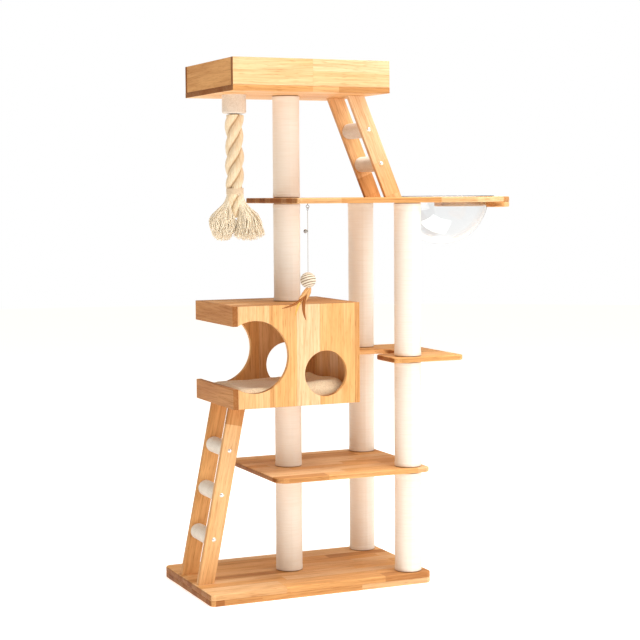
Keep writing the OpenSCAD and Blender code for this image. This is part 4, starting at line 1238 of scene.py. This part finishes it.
class CATTREE_OT_posts(bpy.types.Operator):
    """Add the canvas sleeves of the posts"""

    bl_idname = "cat_tree.posts"
    bl_label = "Add Posts"

    def execute(self, context):
        looks = context.scene.cloth_looks
        names = ("low_left", "low_rear", "low_right", "mid_left", "mid_rear", "mid_right", "high_left",
                 "high_rear", "high_right", "top_left")
        for number, name in enumerate(names):
            self.add_sleeve(looks, name, number)
        return {"FINISHED"}

    def add_sleeve(self, looks, name, number):
        """A canvas sleeve: rings up the outside and down the inside, joined by round lips. The outside stands out
        by a smooth step at each hem and by a raised seam on one side, with a slow ripple over it all."""
        node = f"{name}_wrap"
        low, high = corners(node)
        centre = (low + high) / 2
        lip, gap, wall = 0.0012, 0.0018, 0.0020
        bottom, top = low[2] + gap, high[2] - gap
        rise = np.linspace(0, 1, 60)
        hem_rows = looks.hem / (top - bottom) * np.linspace(0.8, 1.2, 6)
        ends = np.sort(np.concatenate([rise, hem_rows, 1 - hem_rows]))
        z = (bottom + lip + (top - bottom - 2 * lip) * ends)[:, None]
        angle = ring_angles(128)
        from_end = np.minimum(z - bottom, top - z)
        hem = 0.0009 * (1 - smooth(from_end, looks.hem * 0.85, looks.hem * 1.15))
        seam_at = math.radians(-96 + 7 * math.sin(number * 2.4))
        off_seam = np.abs(np.mod(angle - seam_at + math.pi, FULL_TURN) - math.pi) * POST_R
        seam = 0.0006 * (1 - smooth(off_seam, 0.0035, 0.0050)) - 0.0007 * np.exp(-(off_seam / 0.0008) ** 2)
        radius = POST_R + hem + seam + 0.00035 * ripple(3 * np.sin(angle), z * 40, number)
        outer = np.stack([radius, z + 0 * angle], -1)
        bend = np.radians([0, 45, 90])
        lips = []
        for row, way in ((outer[-1:], 1), (outer[:1], -1)):
            lips.append(np.concatenate([row + np.stack([lip * (np.cos(b) - 1), way * lip * np.sin(b)])
                                        for b in bend[1:]]))
        hole = POST_R - wall
        inner_z = np.array([top - lip, bottom + lip])[:, None]
        inner = np.stack([hole + 0 * inner_z + 0 * angle, inner_z + 0 * angle], -1)
        grid = np.concatenate([outer, lips[0], inner, lips[1][::-1]])
        rings = upright(centre[0], centre[1], grid[..., 0], angle, grid[..., 1])
        around = np.linspace(0, FULL_TURN * POST_R, 129)
        points, faces, uv = skin(rings, True, around, grid[:, 0, 1])
        finish = canvas(f"{titled(name)} Canvas", number, low[2], high[2])
        piece(f"{name}_canvas", points, faces, finish, "canvas", [node], uv=uv, crease=60)


def smooth(value, low, high):
    """0 up to low and 1 from high on, on the cubic 3s^2 - 2s^3 between them."""
    s = np.clip((value - low) / (high - low), 0, 1)
    return s * s * (3 - 2 * s)


# ---- Bowl and mat ----


class CATTREE_OT_bowl(bpy.types.Operator):
    """Add the clear bowl"""

    bl_idname = "cat_tree.bowl"
    bl_label = "Add Bowl"

    def execute(self, context):
        """Half a sphere turned about its axis, with a wall, a flat flange and rounded lips."""
        low, high = corners("bowl")
        flange_r = (high[0] - low[0]) / 2
        wall = 0.0035
        deck_top = corners("deck")[1][2]
        radius = deck_top - low[2]
        down = np.radians(np.linspace(-89.6, -1.5, 48))
        lip = np.radians(np.linspace(-90, 90, 9))
        profile = np.concatenate([
            np.stack([radius * np.cos(down), deck_top + radius * np.sin(down)], 1),
            [[radius + 0.0004, deck_top - 0.0012], [radius + 0.0016, deck_top]],
            np.stack([flange_r - wall / 2 + wall / 2 * np.cos(lip), deck_top + wall / 2 + wall / 2 * np.sin(lip)], 1),
            [[radius - wall + 0.004, high[2]], [radius - wall + 0.0012, high[2] - 0.0010]],
            np.stack([(radius - wall) * np.cos(down[::-1]), deck_top + (radius - wall) * np.sin(down[::-1])], 1)])
        points, faces, _ = skin(lathe(profile, (BOWL_X, 0.0), 144))
        piece("clear_bowl", points, faces, acrylic(), "clear_acrylic", ["bowl"], "bowl")
        return {"FINISHED"}


class CATTREE_OT_mat(bpy.types.Operator):
    """Add the plush mat of the house"""

    bl_idname = "cat_tree.mat"
    bl_label = "Add Mat"

    def execute(self, context):
        looks = context.scene.cloth_looks
        low, high = corners("house_mat")
        slim = 0.004
        outline = rounded(low[0] + slim, high[0] - slim, low[1] + slim, high[1] - slim, (0.020,) * 4)
        rings = rim(outline, low[2] + 0.001, high[2] - 0.003, (0.008, 0.012))
        points, faces, _ = skin(rings)
        finish = plush("Mat Plush", tuple(looks.mat_plush), 260.0)
        mat = piece("plush_mat", points, faces, finish, "beige_plush", ["house_mat"], crease=180)
        self.stuff(context, mat, low, high)
        return {"FINISHED"}

    def stuff(self, context, mat, low, high):
        """Blows the mat up as cloth under pressure and keeps each point near where it was and above the floor. Then
        it raises a soft rim all round, as a bell curve of the distance from the edge and most at the closed end,
        and roughens the pile."""
        context.view_layer.objects.active = mat
        remesh = mat.modifiers.new("Even Mesh", "REMESH")
        remesh.mode, remesh.voxel_size, remesh.use_smooth_shade = "VOXEL", 0.0055, True
        bpy.ops.object.modifier_apply(modifier=remesh.name)
        rest = vertex_array(mat)
        most, spill = 0.008, 0.003
        cloth = mat.modifiers.new("Stuffing", "CLOTH")
        cloth.settings.use_pressure = True
        cloth.settings.uniform_pressure_force = 4
        cloth.settings.effector_weights.gravity = 0
        for number in range(1, 21):
            context.scene.frame_set(number)
        bpy.ops.object.modifier_apply(modifier=cloth.name)
        context.scene.frame_set(1)
        moved = vertex_array(mat) - rest
        far = np.linalg.norm(moved, axis=1, keepdims=True)
        moved *= np.minimum(1, most / np.maximum(far, 1e-9))
        puffed = rest + moved
        puffed[:, 2] = np.clip(puffed[:, 2], low[2] + 0.0005, high[2] + 0.006)
        puffed[:, :2] = np.clip(puffed[:, :2], low[:2] - spill, high[:2] + spill)
        mat.data.vertices.foreach_set("co", puffed.astype(np.float32).ravel())
        finer = mat.modifiers.new("Finer", "SUBSURF")
        finer.levels = finer.render_levels = 1
        bpy.ops.object.modifier_apply(modifier=finer.name)
        points = vertex_array(mat)
        rng = np.random.default_rng(8)
        tuft = rng.uniform(-1, 1, len(points)) * 0.0007 + 0.0016 * ripple(points[:, 0] * 55, points[:, 1] * 60, 2)
        inward = np.minimum(np.minimum(points[:, 0] - low[0], high[0] - points[:, 0]),
                            np.minimum(points[:, 1] - low[1], high[1] - points[:, 1]))
        crest, from_edge, wide = 0.013, 0.034, 0.024
        bolster = crest * np.exp(-((inward - from_edge) / wide) ** 2) * (0.35 + smooth(points[:, 0], -0.12, 0.06))
        bolster *= 1 + 0.5 * ripple(points[:, 0] * 30, points[:, 1] * 30, 9)
        points[:, 2] += (tuft + bolster) * smooth(points[:, 2], low[2] + 0.008, low[2] + 0.020)
        mat.data.vertices.foreach_set("co", points.astype(np.float32).ravel())
        mat.data.update()
        mat.data.shade_smooth()


def vertex_array(made):
    """The object's vertices, as an array."""
    flat = np.empty(len(made.data.vertices) * 3, np.float32)
    made.data.vertices.foreach_get("co", flat)
    return flat.reshape(-1, 3).astype(float)


class CATTREE_OT_inside(bpy.types.Operator):
    """Finish the pieces that are hidden inside: tubes, plugs, dowels, bolts and screws"""

    bl_idname = "cat_tree.inside"
    bl_label = "Finish Inner Pieces"

    def execute(self, context):
        card = plain_fibre("Pressed Card", (0.50, 0.36, 0.22), (40, 40, 500))
        softwood = plain_fibre("Rough Softwood", (0.74, 0.55, 0.33), (350, 350, 40))
        zinc = metal("Zinc Steel", (0.62, 0.63, 0.64), 0.3)
        for node in ("low_post_cores", "mid_post_cores", "high_post_cores", "top_post_core"):
            dress(node, card)
        for node in ("post_plugs", "house_dowels", "tray_dowels", "lower_rungs_core", "upper_rungs_core",
                     "rope_holder"):
            dress(node, softwood)
        for node in ("post_bolts", "joining_studs", "wood_screws"):
            dress(node, zinc)
        return {"FINISHED"}


# ---- Add-on ----


class CATTREE_PT_tools(bpy.types.Panel):
    bl_idname = "CATTREE_PT_tools"
    bl_label = "Cat Tree"
    bl_space_type = "VIEW_3D"
    bl_region_type = "UI"
    bl_category = "Cat Tree"

    def draw(self, context):
        for operator in OPERATORS:
            self.layout.operator(operator.bl_idname)
        for name in SETTINGS:
            looks = getattr(context.scene, name)
            column = self.layout.column()
            for key in looks.__annotations__:
                column.prop(looks, key)


SETTINGS = {
    "wood_looks": WoodSettings,
    "cloth_looks": ClothSettings,
    "rope_looks": RopeSettings,
    "toy_looks": ToySettings,
    "stage_looks": StageSettings,
}
OPERATORS = (
    CATTREE_OT_stage, CATTREE_OT_rope, CATTREE_OT_toy, CATTREE_OT_shelves, CATTREE_OT_house, CATTREE_OT_tray,
    CATTREE_OT_ladders, CATTREE_OT_posts, CATTREE_OT_bowl, CATTREE_OT_mat, CATTREE_OT_inside,
)
CLASSES = (*SETTINGS.values(), *OPERATORS, CATTREE_PT_tools)


def register():
    for made in CLASSES:
        bpy.utils.register_class(made)
    for name, group in SETTINGS.items():
        setattr(bpy.types.Scene, name, PointerProperty(type=group))


def unregister():
    for name in SETTINGS:
        delattr(bpy.types.Scene, name)
    for made in reversed(CLASSES):
        bpy.utils.unregister_class(made)


def main():
    register()
    for operator in OPERATORS:
        group, name = operator.bl_idname.split(".")
        getattr(getattr(bpy.ops, group), name)()


if __name__ == "__main__":
    main()
